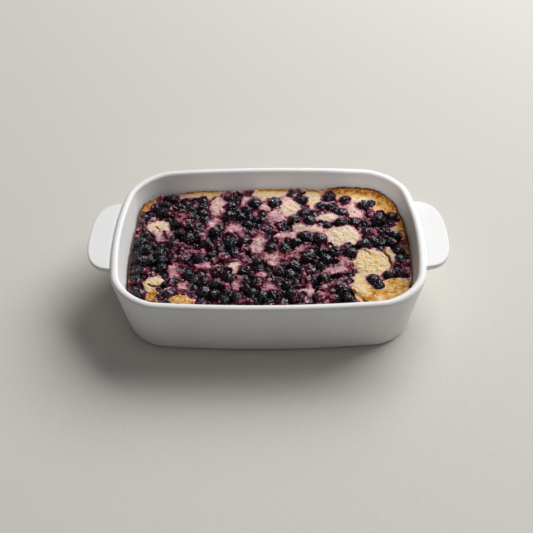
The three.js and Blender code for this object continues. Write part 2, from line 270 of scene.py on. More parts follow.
class MeshMaker:
    """Collects the points, faces and painted values of one mesh."""

    def __init__(self) -> None:
        """Starts with an empty mesh."""
        self.points: list[Array] = []
        self.faces: list[tuple[int, ...]] = []
        self.values: dict[str, list[Array]] = {}
        self.count = 0

    def add(self, points: Array, **values: Array) -> Array:
        """Adds points.

        Args:
            points: Places in millimetres, three coordinates in the last axis.
            **values: Painted values, one for each point.

        Returns:
            The numbers of the points, in the same layout.
        """
        numbers = np.arange(self.count, self.count + points[..., 0].size).reshape(points.shape[:-1])
        self.points.append(points.reshape(-1, 3))
        self.count += numbers.size
        for name, value in values.items():
            self.values.setdefault(name, []).append(np.broadcast_to(value, numbers.shape).reshape(-1))
        return numbers

    def grid(self, numbers: Array) -> None:
        """Fills a grid of point numbers with faces that look up."""
        corners = (numbers[:-1, :-1], numbers[1:, :-1], numbers[1:, 1:], numbers[:-1, 1:])
        self.faces.extend(map(tuple, np.stack([corner.ravel() for corner in corners], axis=1).tolist()))

    def band(self, low: Array, high: Array) -> None:
        """Joins two closed loops of point numbers with faces that look outwards."""
        corners = (low, np.roll(low, -1), np.roll(high, -1), high)
        self.faces.extend(map(tuple, np.stack(corners, axis=1).tolist()))

    def cap(self, loop: Array, looks_up: bool) -> None:
        """Closes a loop of point numbers with one flat face."""
        self.faces.append(tuple((loop if looks_up else loop[::-1]).tolist()))

    def triangles(self, numbers: Array, triangles: Array) -> None:
        """Adds the same triangles for each row of point numbers."""
        self.faces.extend(map(tuple, numbers[:, triangles].reshape(-1, 3).tolist()))

    def finish(self, name: str) -> bpy.types.Object:
        """Makes the mesh object.

        Args:
            name: The piece's name.

        Returns:
            The new smooth-shaded object, in metres.
        """
        mesh = bpy.data.meshes.new(name)
        mesh.from_pydata((np.concatenate(self.points) * MM).tolist(), [], self.faces)
        for key, parts in self.values.items():
            painted = mesh.attributes.new(key, "FLOAT", "POINT")
            painted.data.foreach_set("value", np.concatenate(parts).astype(np.float32))
        mesh.polygons.foreach_set("use_smooth", np.ones(len(mesh.polygons), bool))
        mesh.update()
        piece = bpy.data.objects.new(name, mesh)
        bpy.context.scene.collection.objects.link(piece)
        return piece


def dress(piece: bpy.types.Object, material: bpy.types.Material, stands_for: list[str]) -> None:
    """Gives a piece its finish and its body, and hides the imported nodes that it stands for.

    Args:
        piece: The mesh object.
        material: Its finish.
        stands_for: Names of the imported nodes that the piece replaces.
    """
    piece.data.materials.clear()
    piece.data.materials.append(material)
    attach(piece, BODY)
    if stands_for:
        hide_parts(*stands_for)
    LOG.info("%s: %d faces", piece.name, len(piece.data.polygons))


class Shader:
    """A material's node tree, with the calls that the finishes need."""

    def __init__(self, name: str) -> None:
        """Makes a material with one plain surface shader."""
        self.material = bpy.data.materials.new(name)
        self.material.use_nodes = True
        self.tree = self.material.node_tree
        self.surface = self.tree.nodes["Principled BSDF"]

    def plug(self, value: object, socket: Socket) -> None:
        """Links a socket or sets a constant."""
        if isinstance(value, Socket):
            self.tree.links.new(value, socket)
        else:
            socket.default_value = value

    def node(self, kind: str, settings: dict[str, object], **inputs: object) -> bpy.types.Node:
        """Adds a node.

        Args:
            kind: The node's type.
            settings: Properties of the node.
            **inputs: Values or sockets for its inputs, by name with underscores for spaces.

        Returns:
            The new node.
        """
        made = self.tree.nodes.new(kind)
        for key, value in settings.items():
            setattr(made, key, value)
        for key, value in inputs.items():
            self.plug(value, made.inputs[key.replace("_", " ")])
        return made

    def surface_values(self, **inputs: object) -> None:
        """Sets the surface shader's inputs, by name with underscores for spaces."""
        for key, value in inputs.items():
            self.plug(value, self.surface.inputs[key.replace("_", " ")])

    def painted(self, name: str) -> Socket:
        """Reads a value painted on the mesh."""
        return self.node("ShaderNodeAttribute", {"attribute_name": name}).outputs["Fac"]

    def place(self) -> Socket:
        """The surface point's place on the object, in metres."""
        return self.node("ShaderNodeTexCoord", {}).outputs["Object"]

    def noise(self, size: float, detail: float = 3.0, rough: float = 0.5) -> Socket:
        """Noise from 0 to 1 with swells of about the size, in millimetres."""
        values = {"Vector": self.place(), "Scale": 1 / (size * MM), "Detail": detail, "Roughness": rough}
        return self.node("ShaderNodeTexNoise", {}, **values).outputs["Fac"]

    def math(self, operation: str, *values: object) -> Socket:
        """One step of arithmetic on values or sockets."""
        made = self.node("ShaderNodeMath", {"operation": operation})
        for value, socket in zip(values, made.inputs):
            self.plug(value, socket)
        return made.outputs["Value"]

    def span(self, value: object, old: tuple[float, float], new: tuple[float, float]) -> Socket:
        """Maps a value from one span to another and clamps it.

        Args:
            value: The value or socket.
            old: The span that it comes from.
            new: The span that it goes to.

        Returns:
            The mapped value's socket.
        """
        made = self.node("ShaderNodeMapRange", {"interpolation_type": "SMOOTHSTEP"})
        for key, number in zip(("From Min", "From Max", "To Min", "To Max"), (*old, *new)):
            made.inputs[key].default_value = number
        self.plug(value, made.inputs["Value"])
        return made.outputs["Result"]

    def blend(self, share: object, first: object, second: object) -> Socket:
        """Mixes two colours by a share."""
        made = self.node("ShaderNodeMix", {"data_type": "RGBA"})
        for index, value in ((0, share), (6, first), (7, second)):
            self.plug(value, made.inputs[index])
        return made.outputs[2]

    def ramp(self, value: object, stops: tuple[tuple[float, Floats], ...]) -> Socket:
        """Looks a value up in a row of colours.

        Args:
            value: The value or socket.
            stops: Places from 0 to 1 with their colours.

        Returns:
            The colour's socket.
        """
        made = self.node("ShaderNodeValToRGB", {}, Fac=value)
        elements = made.color_ramp.elements
        while len(elements) < len(stops):
            elements.new(0.5)
        for element, (place, colour) in zip(elements, stops):
            element.position = place
            element.color = colour
        return made.outputs["Color"]

    def bump(self, height: object, depth: float, under: object = None) -> Socket:
        """Turns a height of 0 to 1 into small relief.

        Args:
            height: The height.
            depth: How deep it goes, in millimetres.
            under: The relief that it lies on.

        Returns:
            The socket that holds the bent surface direction.
        """
        made = self.node("ShaderNodeBump", {}, Height=height, Distance=depth * MM, Strength=1.0)
        if under is not None:
            self.plug(under, made.inputs["Normal"])
        return made.outputs["Normal"]


@dataclass(frozen=True)
class GlazedCeramic:
    """White glaze of the dish, satin and nearly even.

    Attributes:
        white: The glaze's main colour.
        shade: Its colour in the slightly darker places.
        cloud_size: Size of those places.
        wave_size: Distance between the glaze's faint waves.
        wave_depth: Their depth.
        roughness: How matt it is.
        specular: How strongly it mirrors.
    """

    white: Floats = srgb(243, 243, 243)
    shade: Floats = srgb(240, 240, 239)
    cloud_size: float = 45.0
    wave_size: float = 14.0
    wave_depth: float = 0.04
    roughness: float = 0.4
    specular: float = 0.25

    def material(self) -> bpy.types.Material:
        """Builds the material.

        Returns:
            The material.
        """
        shader = Shader("white_glaze")
        cloud = shader.span(shader.noise(self.cloud_size, 2), (0.35, 0.65), (0, 1))
        shader.surface_values(
            Base_Color=shader.blend(cloud, self.white, self.shade),
            Roughness=self.roughness,
            Specular_IOR_Level=self.specular,
            Normal=shader.bump(shader.noise(self.wave_size, 2), self.wave_depth),
        )
        return shader.material


@dataclass(frozen=True)
class BakedBatter:
    """Baked batter: cream where bare, pink to black with juice and painted shade, brown at the wall.

    Attributes:
        stain: Colours from bare batter to standing juice, the darkest also painted shade in gaps.
        bake: Colours of the browned surface from light to dark.
        char: Colours of the dark crust line at the wall, also painted shade in holes and cracks.
        fine_size: Size of its fine mottling.
        coarse_size: Size of its coarse mottling.
        crumb_size: Size of its crumb.
        crumb_depth: Depth of its crumb.
        pore_size: Distance between its pores.
        pore_depth: Their depth.
        dryness: How strong the crumb is where the batter is dry and where it is wet.
        roughness: How matt it is there.
        specular: How strongly it mirrors.
        softness: How far light goes into it, as a share of the colour.
        light_depths: How deep red, green and blue light go, in metres.
    """

    stain: tuple = (
        (0.0, srgb(238, 219, 178)),
        (0.2, srgb(233, 206, 180)),
        (0.36, srgb(224, 188, 182)),
        (0.52, srgb(206, 156, 166)),
        (0.66, srgb(152, 68, 96)),
        (0.77, srgb(98, 20, 46)),
        (0.88, srgb(38, 5, 18)),
        (1.0, srgb(5, 2, 5)),
    )
    bake: tuple = (
        (0.0, srgb(236, 210, 162)),
        (0.35, srgb(232, 190, 110)),
        (0.65, srgb(214, 148, 60)),
        (1.0, srgb(150, 82, 26)),
    )
    char: tuple = (
        (0.0, srgb(196, 122, 44)),
        (0.4, srgb(128, 70, 26)),
        (0.75, srgb(66, 36, 17)),
        (1.0, srgb(38, 22, 13)),
    )
    fine_size: float = 1.5
    coarse_size: float = 4.5
    crumb_size: float = 1.1
    crumb_depth: float = 0.6
    pore_size: float = 2.2
    pore_depth: float = 0.2
    dryness: tuple[float, float] = (1.0, 0.12)
    roughness: tuple[float, float] = (0.75, 0.08)
    specular: float = 0.22
    softness: float = 0.12
    light_depths: Triple = (0.0022, 0.0012, 0.0008)

    def colour(self, shader: Shader) -> Socket:
        """Works out the colour: stained, then browned, then charred, with painted shade in gaps, holes and
        cracks.

        Args:
            shader: The material's nodes.

        Returns:
            The colour's socket.
        """
        fine = shader.math("SUBTRACT", shader.noise(self.fine_size, 4, 0.6), 0.5)
        coarse = shader.math("SUBTRACT", shader.noise(self.coarse_size, 3), 0.5)
        mottle = shader.math("ADD", shader.math("MULTIPLY", fine, 0.5), shader.math("MULTIPLY", coarse, 0.25))
        speckle = shader.math("ADD", shader.math("MULTIPLY", fine, 2.0), shader.math("MULTIPLY", coarse, 0.7))
        # The stain value also holds painted shade in the gaps between berries.
        calm = shader.span(shader.painted("stain"), (0.1, 0.5), (0.45, 1.0))
        stain = shader.math("ADD", shader.painted("stain"), shader.math("MULTIPLY", mottle, calm))
        gold = shader.painted("gold")
        browned = shader.ramp(shader.math("ADD", gold, speckle), self.bake)
        colour = shader.blend(shader.span(gold, (0.05, 0.4), (0, 1)), shader.ramp(stain, self.stain), browned)
        # The dark value is browned crust at the wall, and painted shade in air holes and cracks.
        charred = shader.math("ADD", shader.painted("char"), shader.math("MULTIPLY", fine, 0.7))
        crusted = shader.ramp(shader.math("SUBTRACT", charred, 0.15), self.char)
        return shader.blend(shader.span(charred, (0.15, 0.4), (0, 1)), colour, crusted)

    def material(self) -> bpy.types.Material:
        """Builds the material.

        Returns:
            The material.
        """
        shader = Shader("baked_batter")
        dry = shader.span(shader.painted("wet"), (0.15, 0.75), self.dryness)
        crumb = shader.math("MULTIPLY", shader.noise(self.crumb_size, 3, 0.7), dry)
        pores = shader.span(shader.noise(self.pore_size, 3, 0.6), (0.3, 0.38), (0, 1))
        shader.surface_values(
            Base_Color=self.colour(shader),
            Roughness=shader.span(shader.painted("wet"), (0.2, 0.8), self.roughness),
            Specular_IOR_Level=self.specular,
            Subsurface_Weight=self.softness,
            Subsurface_Radius=self.light_depths,
            Subsurface_Scale=1.0,
            Normal=shader.bump(pores, self.pore_depth, shader.bump(crumb, self.crumb_depth)),
        )
        return shader.material


@dataclass(frozen=True)
class BerrySkin:
    """Skin of a baked blueberry: near black, blue to purple, wrinkled and juicy.

    Attributes:
        name: The material's name.
        dark: The skin's darkest colour.
        blue: Its bluish colour.
        wine: Its reddish colour.
        film: Colours of the crumb film that clings to it.
        cloud_size: Size of its bluish places.
        film_size: Size of the film's spots.
        wrinkle_size: Distance between its finest wrinkles.
        wrinkle_depth: Their depth.
        roughness: How matt it is, from its wettest to its driest places.
        specular: How strongly it mirrors.
        sheen: Colour of what it mirrors.
    """

    name: str
    dark: Floats = srgb(3, 2, 4)
    blue: Floats = srgb(8, 6, 15)
    wine: Floats = srgb(22, 4, 13)
    film: tuple = ((0.32, srgb(36, 10, 24)), (0.48, srgb(100, 48, 68)), (0.62, srgb(190, 150, 160)))
    cloud_size: float = 5.0
    film_size: float = 1.3
    wrinkle_size: float = 2.6
    wrinkle_depth: float = 0.35
    roughness: tuple[float, float] = (0.03, 0.1)
    specular: float = 0.64
    sheen: Floats = (0.8, 0.84, 1.0, 1.0)

    def material(self) -> bpy.types.Material:
        """Builds the material.

        Returns:
            The material.
        """
        shader = Shader(self.name)
        bluish = shader.span(shader.noise(self.cloud_size, 2), (0.4, 0.65), (0, 1))
        colour = shader.blend(bluish, self.dark, self.blue)
        colour = shader.blend(shader.span(shader.painted("tone"), (0.55, 0.95), (0, 0.9)), colour, self.wine)
        spots = shader.math("SUBTRACT", shader.noise(self.film_size, 4, 0.6), 0.5)
        film = shader.span(shader.math("ADD", shader.painted("film"), spots), (0.35, 0.85), (0, 0.9))
        film_colour = shader.ramp(shader.noise(2.6, 3), self.film)
        shader.surface_values(
            Base_Color=shader.blend(film, colour, film_colour),
            Roughness=shader.span(shader.noise(2.4, 2), (0.35, 0.65), self.roughness),
            Specular_IOR_Level=self.specular,
            Specular_Tint=self.sheen,
            Normal=shader.bump(shader.noise(self.wrinkle_size, 1.0, 0.4), self.wrinkle_depth),
        )
        return shader.material


@dataclass(frozen=True)
class PlainFinish:
    """A nearly even finish, for crumbs, specks and the floor.

    Attributes:
        name: The material's name.
        first: One end of its colours.
        second: The other end.
        grain: The size of its mottling in millimetres.
        roughness: How matt it is.
    """

    name: str
    first: Floats
    second: Floats
    grain: float
    roughness: float

    def material(self) -> bpy.types.Material:
        """Builds the material.

        Returns:
            The material.
        """
        shader = Shader(self.name)
        share = shader.span(shader.noise(self.grain, 3), (0.35, 0.65), (0, 1))
        shader.surface_values(
            Base_Color=shader.blend(share, self.first, self.second),
            Roughness=self.roughness,
            Specular_IOR_Level=0.3,
        )
        return shader.material


@dataclass(frozen=True)
class DishForm:
    """The dish's form: a rounded rectangle with bowed sides, whose walls lean outwards.

    Attributes:
        length: Length over the rim, without the handles.
        width: Width over the rim.
        height: Height of the rim.
        corner: Corner radius at the rim.
        end_bow: How far the ends bow outwards.
        side_bow: How far the sides bow outwards.
        lean: How far the walls lean over their height.
        taper: How much smaller the corner radius is at the foot.
        wall: Thickness of the wall.
        foot_rounding: Radius under the wall.
        floor: Thickness of the floor.
        fillet: Radius between the wall and the floor inside.
    """

    length: float = 270.0
    width: float = 188.0
    height: float = 60.0
    corner: float = 38.0
    end_bow: float = 10.6
    side_bow: float = 6.8
    lean: float = 9.4
    taper: float = 11.0
    wall: float = 6.4
    foot_rounding: float = 3.5
    floor: float = 6.0
    fillet: float = 9.0

    def half_sizes(self, height: float, inset: float) -> Triple:
        """Half length, half width and corner radius of the outside at a height, moved in by an inset."""
        share = 1 - height / self.height
        side = self.lean * share + inset
        corner = max(self.corner - self.taper * share - inset, 1.0)
        return self.length / 2 - side, self.width / 2 - side, corner

    def place(self, u: Array, v: Array, height: float, inset: float) -> Plan:
        """Lays square coordinates over the dish's outline at a height.

        Args:
            u: Coordinates from -1 to 1 along the dish.
            v: Coordinates from -1 to 1 across it.
            height: The height whose outline counts.
            inset: How far the outline is moved inwards.

        Returns:
            The plan coordinates in millimetres.
        """
        half_x, half_y, corner = self.half_sizes(height, inset)
        ring = np.maximum(np.abs(u), np.abs(v))
        edge_x = u / np.maximum(ring, TINY) * half_x
        edge_y = v / np.maximum(ring, TINY) * half_y
        over_x = np.abs(edge_x) - (half_x - corner)
        over_y = np.abs(edge_y) - (half_y - corner)
        rounding = corner / np.maximum(np.hypot(over_x, over_y), TINY)
        in_corner = (over_x > 0) & (over_y > 0)
        edge_x = np.where(in_corner, np.sign(edge_x) * (half_x - corner + over_x * rounding), edge_x)
        edge_y = np.where(in_corner, np.sign(edge_y) * (half_y - corner + over_y * rounding), edge_y)
        pull = ring**2
        x = mix(u * half_x, ring * edge_x, pull)
        y = mix(v * half_y, ring * edge_y, pull)
        return (
            x - x / half_x * self.end_bow * (y / half_y) ** 2,
            y - y / half_y * self.side_bow * (x / half_x) ** 2,
        )


@dataclass(frozen=True)
class BakingDish:
    """The white dish with a flat tab handle at each end.

    Attributes:
        form: The dish's form.
        steps: Steps of the outline along and across the dish.
        rim_squareness: 2 for a half-round rim, more for a flatter one.
        reach: Distance of a handle's tip from the middle.
        root: Distance of its buried root.
        half_width: Half its width at the root.
        squareness: Exponent of its outline, half a superellipse.
        top: Height of its top.
        thickness: Its thickness.
        edge: Radius of its edges.
        flare: How much deeper it is where it meets the wall.
        flare_reach: How far from the wall the flare goes.
        groove: Depth of the line between the rim and its top.
        groove_width: Half width of that line.
        groove_shift: Its distance from the wall, in half widths.
        handle_steps: Steps of a handle along and across it.
        edge_points: Rows of points on a handle's rounded edge.
        weld: Distance below which two points of a handle become one.
        arc_points: Rows of points round the foot and in the fillet.
        wall_points: Rows up the outside of the wall.
        rim_points: Rows over the rim.
        inside_points: Rows down the inside of the wall.
        sharp_angle: The turn between two faces, in degrees, from which their edge is sharp.
    """

    form: DishForm
    steps: tuple[int, int] = (96, 68)
    rim_squareness: float = 2.25
    reach: float = 156.0
    root: float = 130.0
    half_width: float = 43.2
    squareness: float = 2.7
    top: float = 57.5
    thickness: float = 4.4
    edge: float = 1.2
    flare: float = 1.0
    flare_reach: float = 6.0
    groove: float = 0.3
    groove_width: float = 0.9
    groove_shift: float = 0.6
    handle_steps: tuple[int, int] = (26, 56)
    edge_points: int = 7
    weld: float = 0.002
    arc_points: int = 9
    wall_points: int = 12
    rim_points: int = 19
    inside_points: int = 9
    sharp_angle: float = 38.0

    def rows(self) -> list[Triple]:
        """Rows of the shell, as height, inset and the height whose outline counts.

        Returns:
            The rows, from the foot over the rim down to the floor inside.
        """
        form = self.form
        quarter = np.linspace(0, math.pi / 2, self.arc_points)
        rows = []
        for turn in quarter:
            z = form.foot_rounding * (1 - math.cos(turn))
            rows.append((z, form.foot_rounding * (1 - math.sin(turn)), z))
        radius = form.wall / 2
        shoulder = form.height - radius
        for z in np.linspace(form.foot_rounding, shoulder, self.wall_points)[1:-1]:
            rows.append((z, 0.0, z))
        power = 2 / self.rim_squareness
        for turn in np.linspace(0, math.pi, self.rim_points):
            across = math.copysign(abs(math.cos(turn)) ** power, math.cos(turn))
            rows.append((shoulder + radius * math.sin(turn) ** power, radius * (1 - across), shoulder))
        centre = form.floor + form.fillet
        for z in np.linspace(shoulder, centre, self.inside_points)[1:-1]:
            rows.append((z, form.wall, z))
        for turn in quarter:
            inset = form.wall + form.fillet * (1 - math.cos(turn))
            rows.append((centre - form.fillet * math.sin(turn), inset, centre))
        return rows

    def shell(self) -> bpy.types.Object:
        """Builds the dish without its handles.

        Returns:
            The shell as a closed mesh.
        """
        maker = MeshMaker()
        u, v = square_loop(*self.steps)
        loops = []
        for z, inset, height in self.rows():
            x, y = self.form.place(u, v, height, inset)
            loops.append(maker.add(np.stack([x, y, np.full_like(x, z)], axis=-1)))
        for low, high in zip(loops, loops[1:]):
            maker.band(low, high)
        maker.cap(loops[0], False)
        maker.cap(loops[-1], True)
        return maker.finish("baking_dish_shell")

    def handle_plan(self, u: Array, v: Array, inset: float) -> Plan:
        """Lays square coordinates over a handle's outline, half a superellipse.

        Args:
            u: Coordinates from -1 to 1 from root to tip.
            v: Coordinates from -1 to 1 across the handle.
            inset: How far the outline is moved inwards.

        Returns:
            The plan coordinates in millimetres.
        """
        along = (u + 1) / 2
        ring = np.maximum(np.maximum(along, np.abs(v)), TINY)
        power = self.squareness
        total = (along / ring) ** power + (np.abs(v) / ring) ** power
        pull = mix(1.0, np.maximum(total, 1.0) ** (-1 / power), ring**2)
        x = self.root + (self.reach - self.root - inset) * along * pull
        return x, (self.half_width - inset) * v * pull

    def wall_distance(self, x: Array, y: Array) -> Array:
        """How far a point of a handle lies outside the wall."""
        half_x, half_y, _ = self.form.half_sizes(self.top, 0.0)
        return x - (half_x - self.form.end_bow * (y / half_y) ** 2)

    def groove_depth(self, distance: Array) -> Array:
        """Depth of the line beside the rim at a distance from the wall."""
        return self.groove * bell(distance - self.groove_width * self.groove_shift, self.groove_width)

    def flare_depth(self, distance: Array) -> Array:
        """How much deeper a handle is at a distance from the wall."""
        return self.flare * (1 - ease(0, self.flare_reach, distance))

    def handle(self, side: int) -> bpy.types.Object:
        """Builds one handle.

        Args:
            side: 1 for the right handle, -1 for the left one.

        Returns:
            The handle as a closed mesh whose root is buried in the wall.
        """
        maker = MeshMaker()
        plan_x, plan_y = self.handle_plan(*square_grid(*self.handle_steps), self.edge)
        distance = self.wall_distance(plan_x, plan_y)
        top = maker.add(np.stack([plan_x, plan_y, self.top - self.groove_depth(distance)], axis=-1))
        maker.grid(top)
        turns = np.linspace(0, math.pi / 2, self.edge_points)
        rows = [(self.top - self.edge * (1 - math.cos(t)), self.edge * (1 - math.sin(t))) for t in turns[1:]]
        below = self.top - self.thickness + self.edge
        rows += [(below - self.edge * math.sin(t), self.edge * (1 - math.cos(t))) for t in turns]
        upper = border(top)
        for z, inset in rows:
            x, y = self.handle_plan(*square_loop(*self.handle_steps), inset)
            sunk = self.groove_depth if z > below else self.flare_depth
            lower = maker.add(np.stack([x, y, z - sunk(self.wall_distance(x, y))], axis=-1))
            maker.band(lower, upper)
            upper = lower
        bottom_z = self.top - self.thickness - self.flare_depth(distance)
        bottom = maker.add(np.stack([plan_x, plan_y, bottom_z], axis=-1))
        maker.grid(bottom[::-1])
        piece = maker.finish("handle")
        cleaner = bmesh.new()
        cleaner.from_mesh(piece.data)
        bmesh.ops.remove_doubles(cleaner, verts=cleaner.verts, dist=self.weld * MM)
        cleaner.to_mesh(piece.data)
        cleaner.free()
        if side < 0:
            piece.data.transform(Matrix.Rotation(math.pi, 4, "Z"))
        return piece

    def build(self, finish: GlazedCeramic) -> None:
        """Builds the dish with both handles as one piece and dresses it.

        Args:
            finish: Its glaze.
        """
        dish = self.shell()
        for side in (1, -1):
            handle = self.handle(side)
            join = dish.modifiers.new("handle", "BOOLEAN")
            join.operation = "UNION"
            join.solver = "EXACT"
            join.object = handle
            apply_modifiers(dish)
            bpy.data.objects.remove(handle)
        dish.name = "glazed_dish"
        dish.data.polygons.foreach_set("use_smooth", np.ones(len(dish.data.polygons), bool))
        dish.data.set_sharp_from_angle(angle=math.radians(self.sharp_angle))
        dress(dish, finish.material(), ["baking_dish"])


def apply_modifiers(piece: bpy.types.Object) -> None:
    """Replaces a piece's mesh by the one that its modifiers give."""
    depsgraph = bpy.context.evaluated_depsgraph_get()
    made = bpy.data.meshes.new_from_object(piece.evaluated_get(depsgraph))
    piece.modifiers.clear()
    piece.data = made


class Tint(Enum):
    """Looks of the bare batter, as how far juice stained it and how far it browned."""

    BROWNED = (0.08, 0.8)
    GOLDEN = (0.0, 0.5)
    PALE_GOLD = (0.0, 0.22)
    CREAM = (0.06, 0.0)
    PINK_CREAM = (0.3, 0.0)
    PINK = (0.47, 0.0)
    MAGENTA = (0.75, 0.0)


@dataclass(frozen=True)
class Patch:
    """A place where the batter shows bare between the berries.

    Attributes:
        x: Its middle along the dish.
        y: Its middle across the dish.
        half_length: Half its length.
        half_width: Half its width.
        turn: Its turn in degrees.
        tint: Its look.
    """

    x: float
    y: float
    half_length: float
    half_width: float
    turn: float
    tint: Tint

    def reach(self, x: Array, y: Array, margin: float = 0.0) -> Array:
        """How strongly the patch reaches points: 1 in its middle, 0 from its edge outwards.

        Args:
            x: Places along the dish.
            y: Places across it.
            margin: How much larger the patch counts.

        Returns:
            The strengths.
        """
        turn = math.radians(self.turn)
        across_x = x - self.x
        across_y = y - self.y
        along = (across_x * math.cos(turn) + across_y * math.sin(turn)) / (self.half_length + margin)
        beside = (across_y * math.cos(turn) - across_x * math.sin(turn)) / (self.half_width + margin)
        return np.maximum(0.0, 1 - along**2 - beside**2)


PATCHES = (
    Patch(-118, 57, 6, 14, -10, Tint.GOLDEN),
    Patch(-101, 31, 12, 7, 15, Tint.CREAM),
    Patch(-99, 17, 5, 8, 15, Tint.PINK_CREAM),
    Patch(-98, -43, 8, 9, 0, Tint.PALE_GOLD),
    Patch(-97, -57, 5, 5, 0, Tint.BROWNED),
    Patch(-82, -28, 6, 10, 10, Tint.PINK),
    Patch(-81, 48, 13, 4, -5, Tint.MAGENTA),
    Patch(-79, 73, 8, 5, 10, Tint.PINK_CREAM),
    Patch(-72, -63, 11, 6, -5, Tint.GOLDEN),
    Patch(-71, -45, 6, 6, 0, Tint.PINK_CREAM),
    Patch(-70, -5, 19, 4, -3, Tint.MAGENTA),
    Patch(-66, 30, 3, 10, 0, Tint.MAGENTA),
    Patch(-61, 78, 16, 6, 10, Tint.PALE_GOLD),
    Patch(-57, -23, 8, 6, 10, Tint.PINK),
    Patch(-50, 32, 9, 4, 10, Tint.PINK),
    Patch(-47, 60, 7, 15, -8, Tint.PINK_CREAM),
    Patch(-46, 3, 5, 7, 0, Tint.MAGENTA),
    Patch(-31, 26, 10, 8, -15, Tint.PINK),
    Patch(-29, -23, 5, 6, 0, Tint.CREAM),
    Patch(-26, -44, 4, 10, -20, Tint.PINK),
    Patch(-21, 66, 5, 9, 0, Tint.PINK_CREAM),
    Patch(-9, 5, 6, 14, -20, Tint.PINK_CREAM),
    Patch(-8, -33, 7, 4, 25, Tint.PINK),
    Patch(-4, 57, 4, 8, 0, Tint.PINK_CREAM),
    Patch(2, 78, 18, 7, 0, Tint.PALE_GOLD),
    Patch(3, -48, 9, 4, -35, Tint.PINK),
    Patch(5, -17, 8, 6, 0, Tint.PINK),
    Patch(6, 42, 8, 8, 0, Tint.PINK),
    Patch(16, 17, 12, 6, 10, Tint.PINK_CREAM),
    Patch(20, 58, 11, 14, 15, Tint.CREAM),
    Patch(22, -12, 8, 4, -20, Tint.MAGENTA),
    Patch(33, -55, 4, 6, 0, Tint.PINK_CREAM),
    Patch(33, 1, 8, 4, 0, Tint.PINK),
    Patch(37, 27, 17, 5, -4, Tint.CREAM),
    Patch(42, 71, 8, 12, 0, Tint.PALE_GOLD),
    Patch(41, 54, 6, 5, 0, Tint.PINK),
    Patch(55, -44, 7, 4, 0, Tint.MAGENTA),
    Patch(56, 41, 16, 5, -5, Tint.CREAM),
    Patch(57, -30, 12, 4, 5, Tint.PINK),
    Patch(66, -17, 5, 6, 0, Tint.PINK),
    Patch(67, 17, 18, 14, -10, Tint.CREAM),
    Patch(78, -46, 8, 15, 0, Tint.PALE_GOLD),
    Patch(82, 51, 7, 13, 0, Tint.PINK_CREAM),
    Patch(90, -20, 18, 20, 15, Tint.PALE_GOLD),
    Patch(91, 74, 33, 12, -6, Tint.PALE_GOLD),
    Patch(98, -58, 27, 10, 5, Tint.GOLDEN),
    Patch(107, -9, 4, 10, 10, Tint.PALE_GOLD),
    Patch(108, -45, 12, 5, 0, Tint.GOLDEN),
    Patch(110, 60, 12, 13, 20, Tint.GOLDEN),
    Patch(118, 26, 6, 6, 0, Tint.PALE_GOLD),
)

PALE_AREAS = (
    Patch(-50, 56, 12, 26, 0, Tint.PINK),
    Patch(-14, 62, 15, 20, 0, Tint.PINK_CREAM),
    Patch(10, 60, 20, 22, 0, Tint.PINK_CREAM),
    Patch(15, -9, 30, 11, 0, Tint.PINK),
    Patch(30, 24, 26, 8, 0, Tint.PINK_CREAM),
    Patch(46, 68, 17, 18, 0, Tint.CREAM),
    Patch(60, -26, 16, 11, 0, Tint.PINK),
    Patch(80, 60, 22, 24, 0, Tint.CREAM),
    Patch(104, -36, 16, 8, 0, Tint.PALE_GOLD),
)


@dataclass(frozen=True)
class Crack:
    """A crack in the batter's top.

    Attributes:
        points: The corners of its line, seen from above.
        width: Half its width.
        depth: Its depth.
    """

    points: tuple[tuple[float, float], ...]
    width: float = 0.55
    depth: float = 1.2

    def reach(self, x: Array, y: Array) -> Array:
        """How strongly the crack reaches points: 1 on its line, 0 away from it.

        Args:
            x: Places along the dish.
            y: Places across it.

        Returns:
            The strengths.
        """
        nearest = np.full(x.shape, FAR)
        for (from_x, from_y), (to_x, to_y) in zip(self.points, self.points[1:]):
            span_x, span_y = to_x - from_x, to_y - from_y
            along = np.clip(((x - from_x) * span_x + (y - from_y) * span_y) / (span_x**2 + span_y**2), 0, 1)
            nearest = np.minimum(nearest, np.hypot(x - from_x - along * span_x, y - from_y - along * span_y))
        return bell(nearest, self.width)


CRACKS = (
    Crack(((102.5, 0), (103, -8), (106, -13), (106, -19), (110, -27)), 0.8, 1.6),
    Crack(((85, -4), (88, -6), (90, -10)), 0.45, 0.8),
    Crack(((71, -52), (74, -57), (77, -60), (80, -66)), 0.7),
    Crack(((66, -55), (69, -59), (70, -63)), 0.6),
    Crack(((-102, 29), (-100, 27)), 1.0),
    Crack(((-112, 28), (-110, 26)), 0.9),
    Crack(((-45, 52), (-44, 48), (-42, 45)), 0.8),
    Crack(((-102, -44), (-98, -47), (-94, -47)), 0.8),
)

SINGLE_BERRIES = (
    (-13, 63, 6.3), (6, 64, 6.6), (25, 76, 6), (32, 67, 6), (58, 73, 6),
    (73, 67, 5), (50, 58, 5.8), (60, 56, 6.2), (68, 48, 6), (89, 57, 6),
    (97, 61, 4.2), (33, 47, 6), (24, 39, 6), (38, 36, 6), (54, 30, 4.3),
    (66, 34, 4.7), (80, 35, 5.4), (47, 11, 6.3), (33, 16, 5.8), (86, 4, 5.6),
    (95, 7, 5), (47, -4, 5), (59, -6, 6), (72, -7, 6.3), (89, -40, 5.8),
    (93, -48, 5.2), (103, -35, 4.8), (113, -34, 4.8),
)


@dataclass
class Berry:
    """One berry.

    Attributes:
        x: Its middle along the dish.
        y: Its middle across the dish.
        radius: Its radius seen from above.
        z: The height of its middle.
        turn: Its turn about the vertical, in radians.
        stretch: How much longer it is than wide.
    """

    x: float
    y: float
    radius: float
    z: float = 0.0
    turn: float = 0.0
    stretch: float = 1.0

    def crowds(self, x: float, y: float, radius: float, spacing: float) -> bool:
        """Says whether a berry at a point would lie too close to this one."""
        return math.hypot(self.x - x, self.y - y) < spacing * (self.radius + radius)


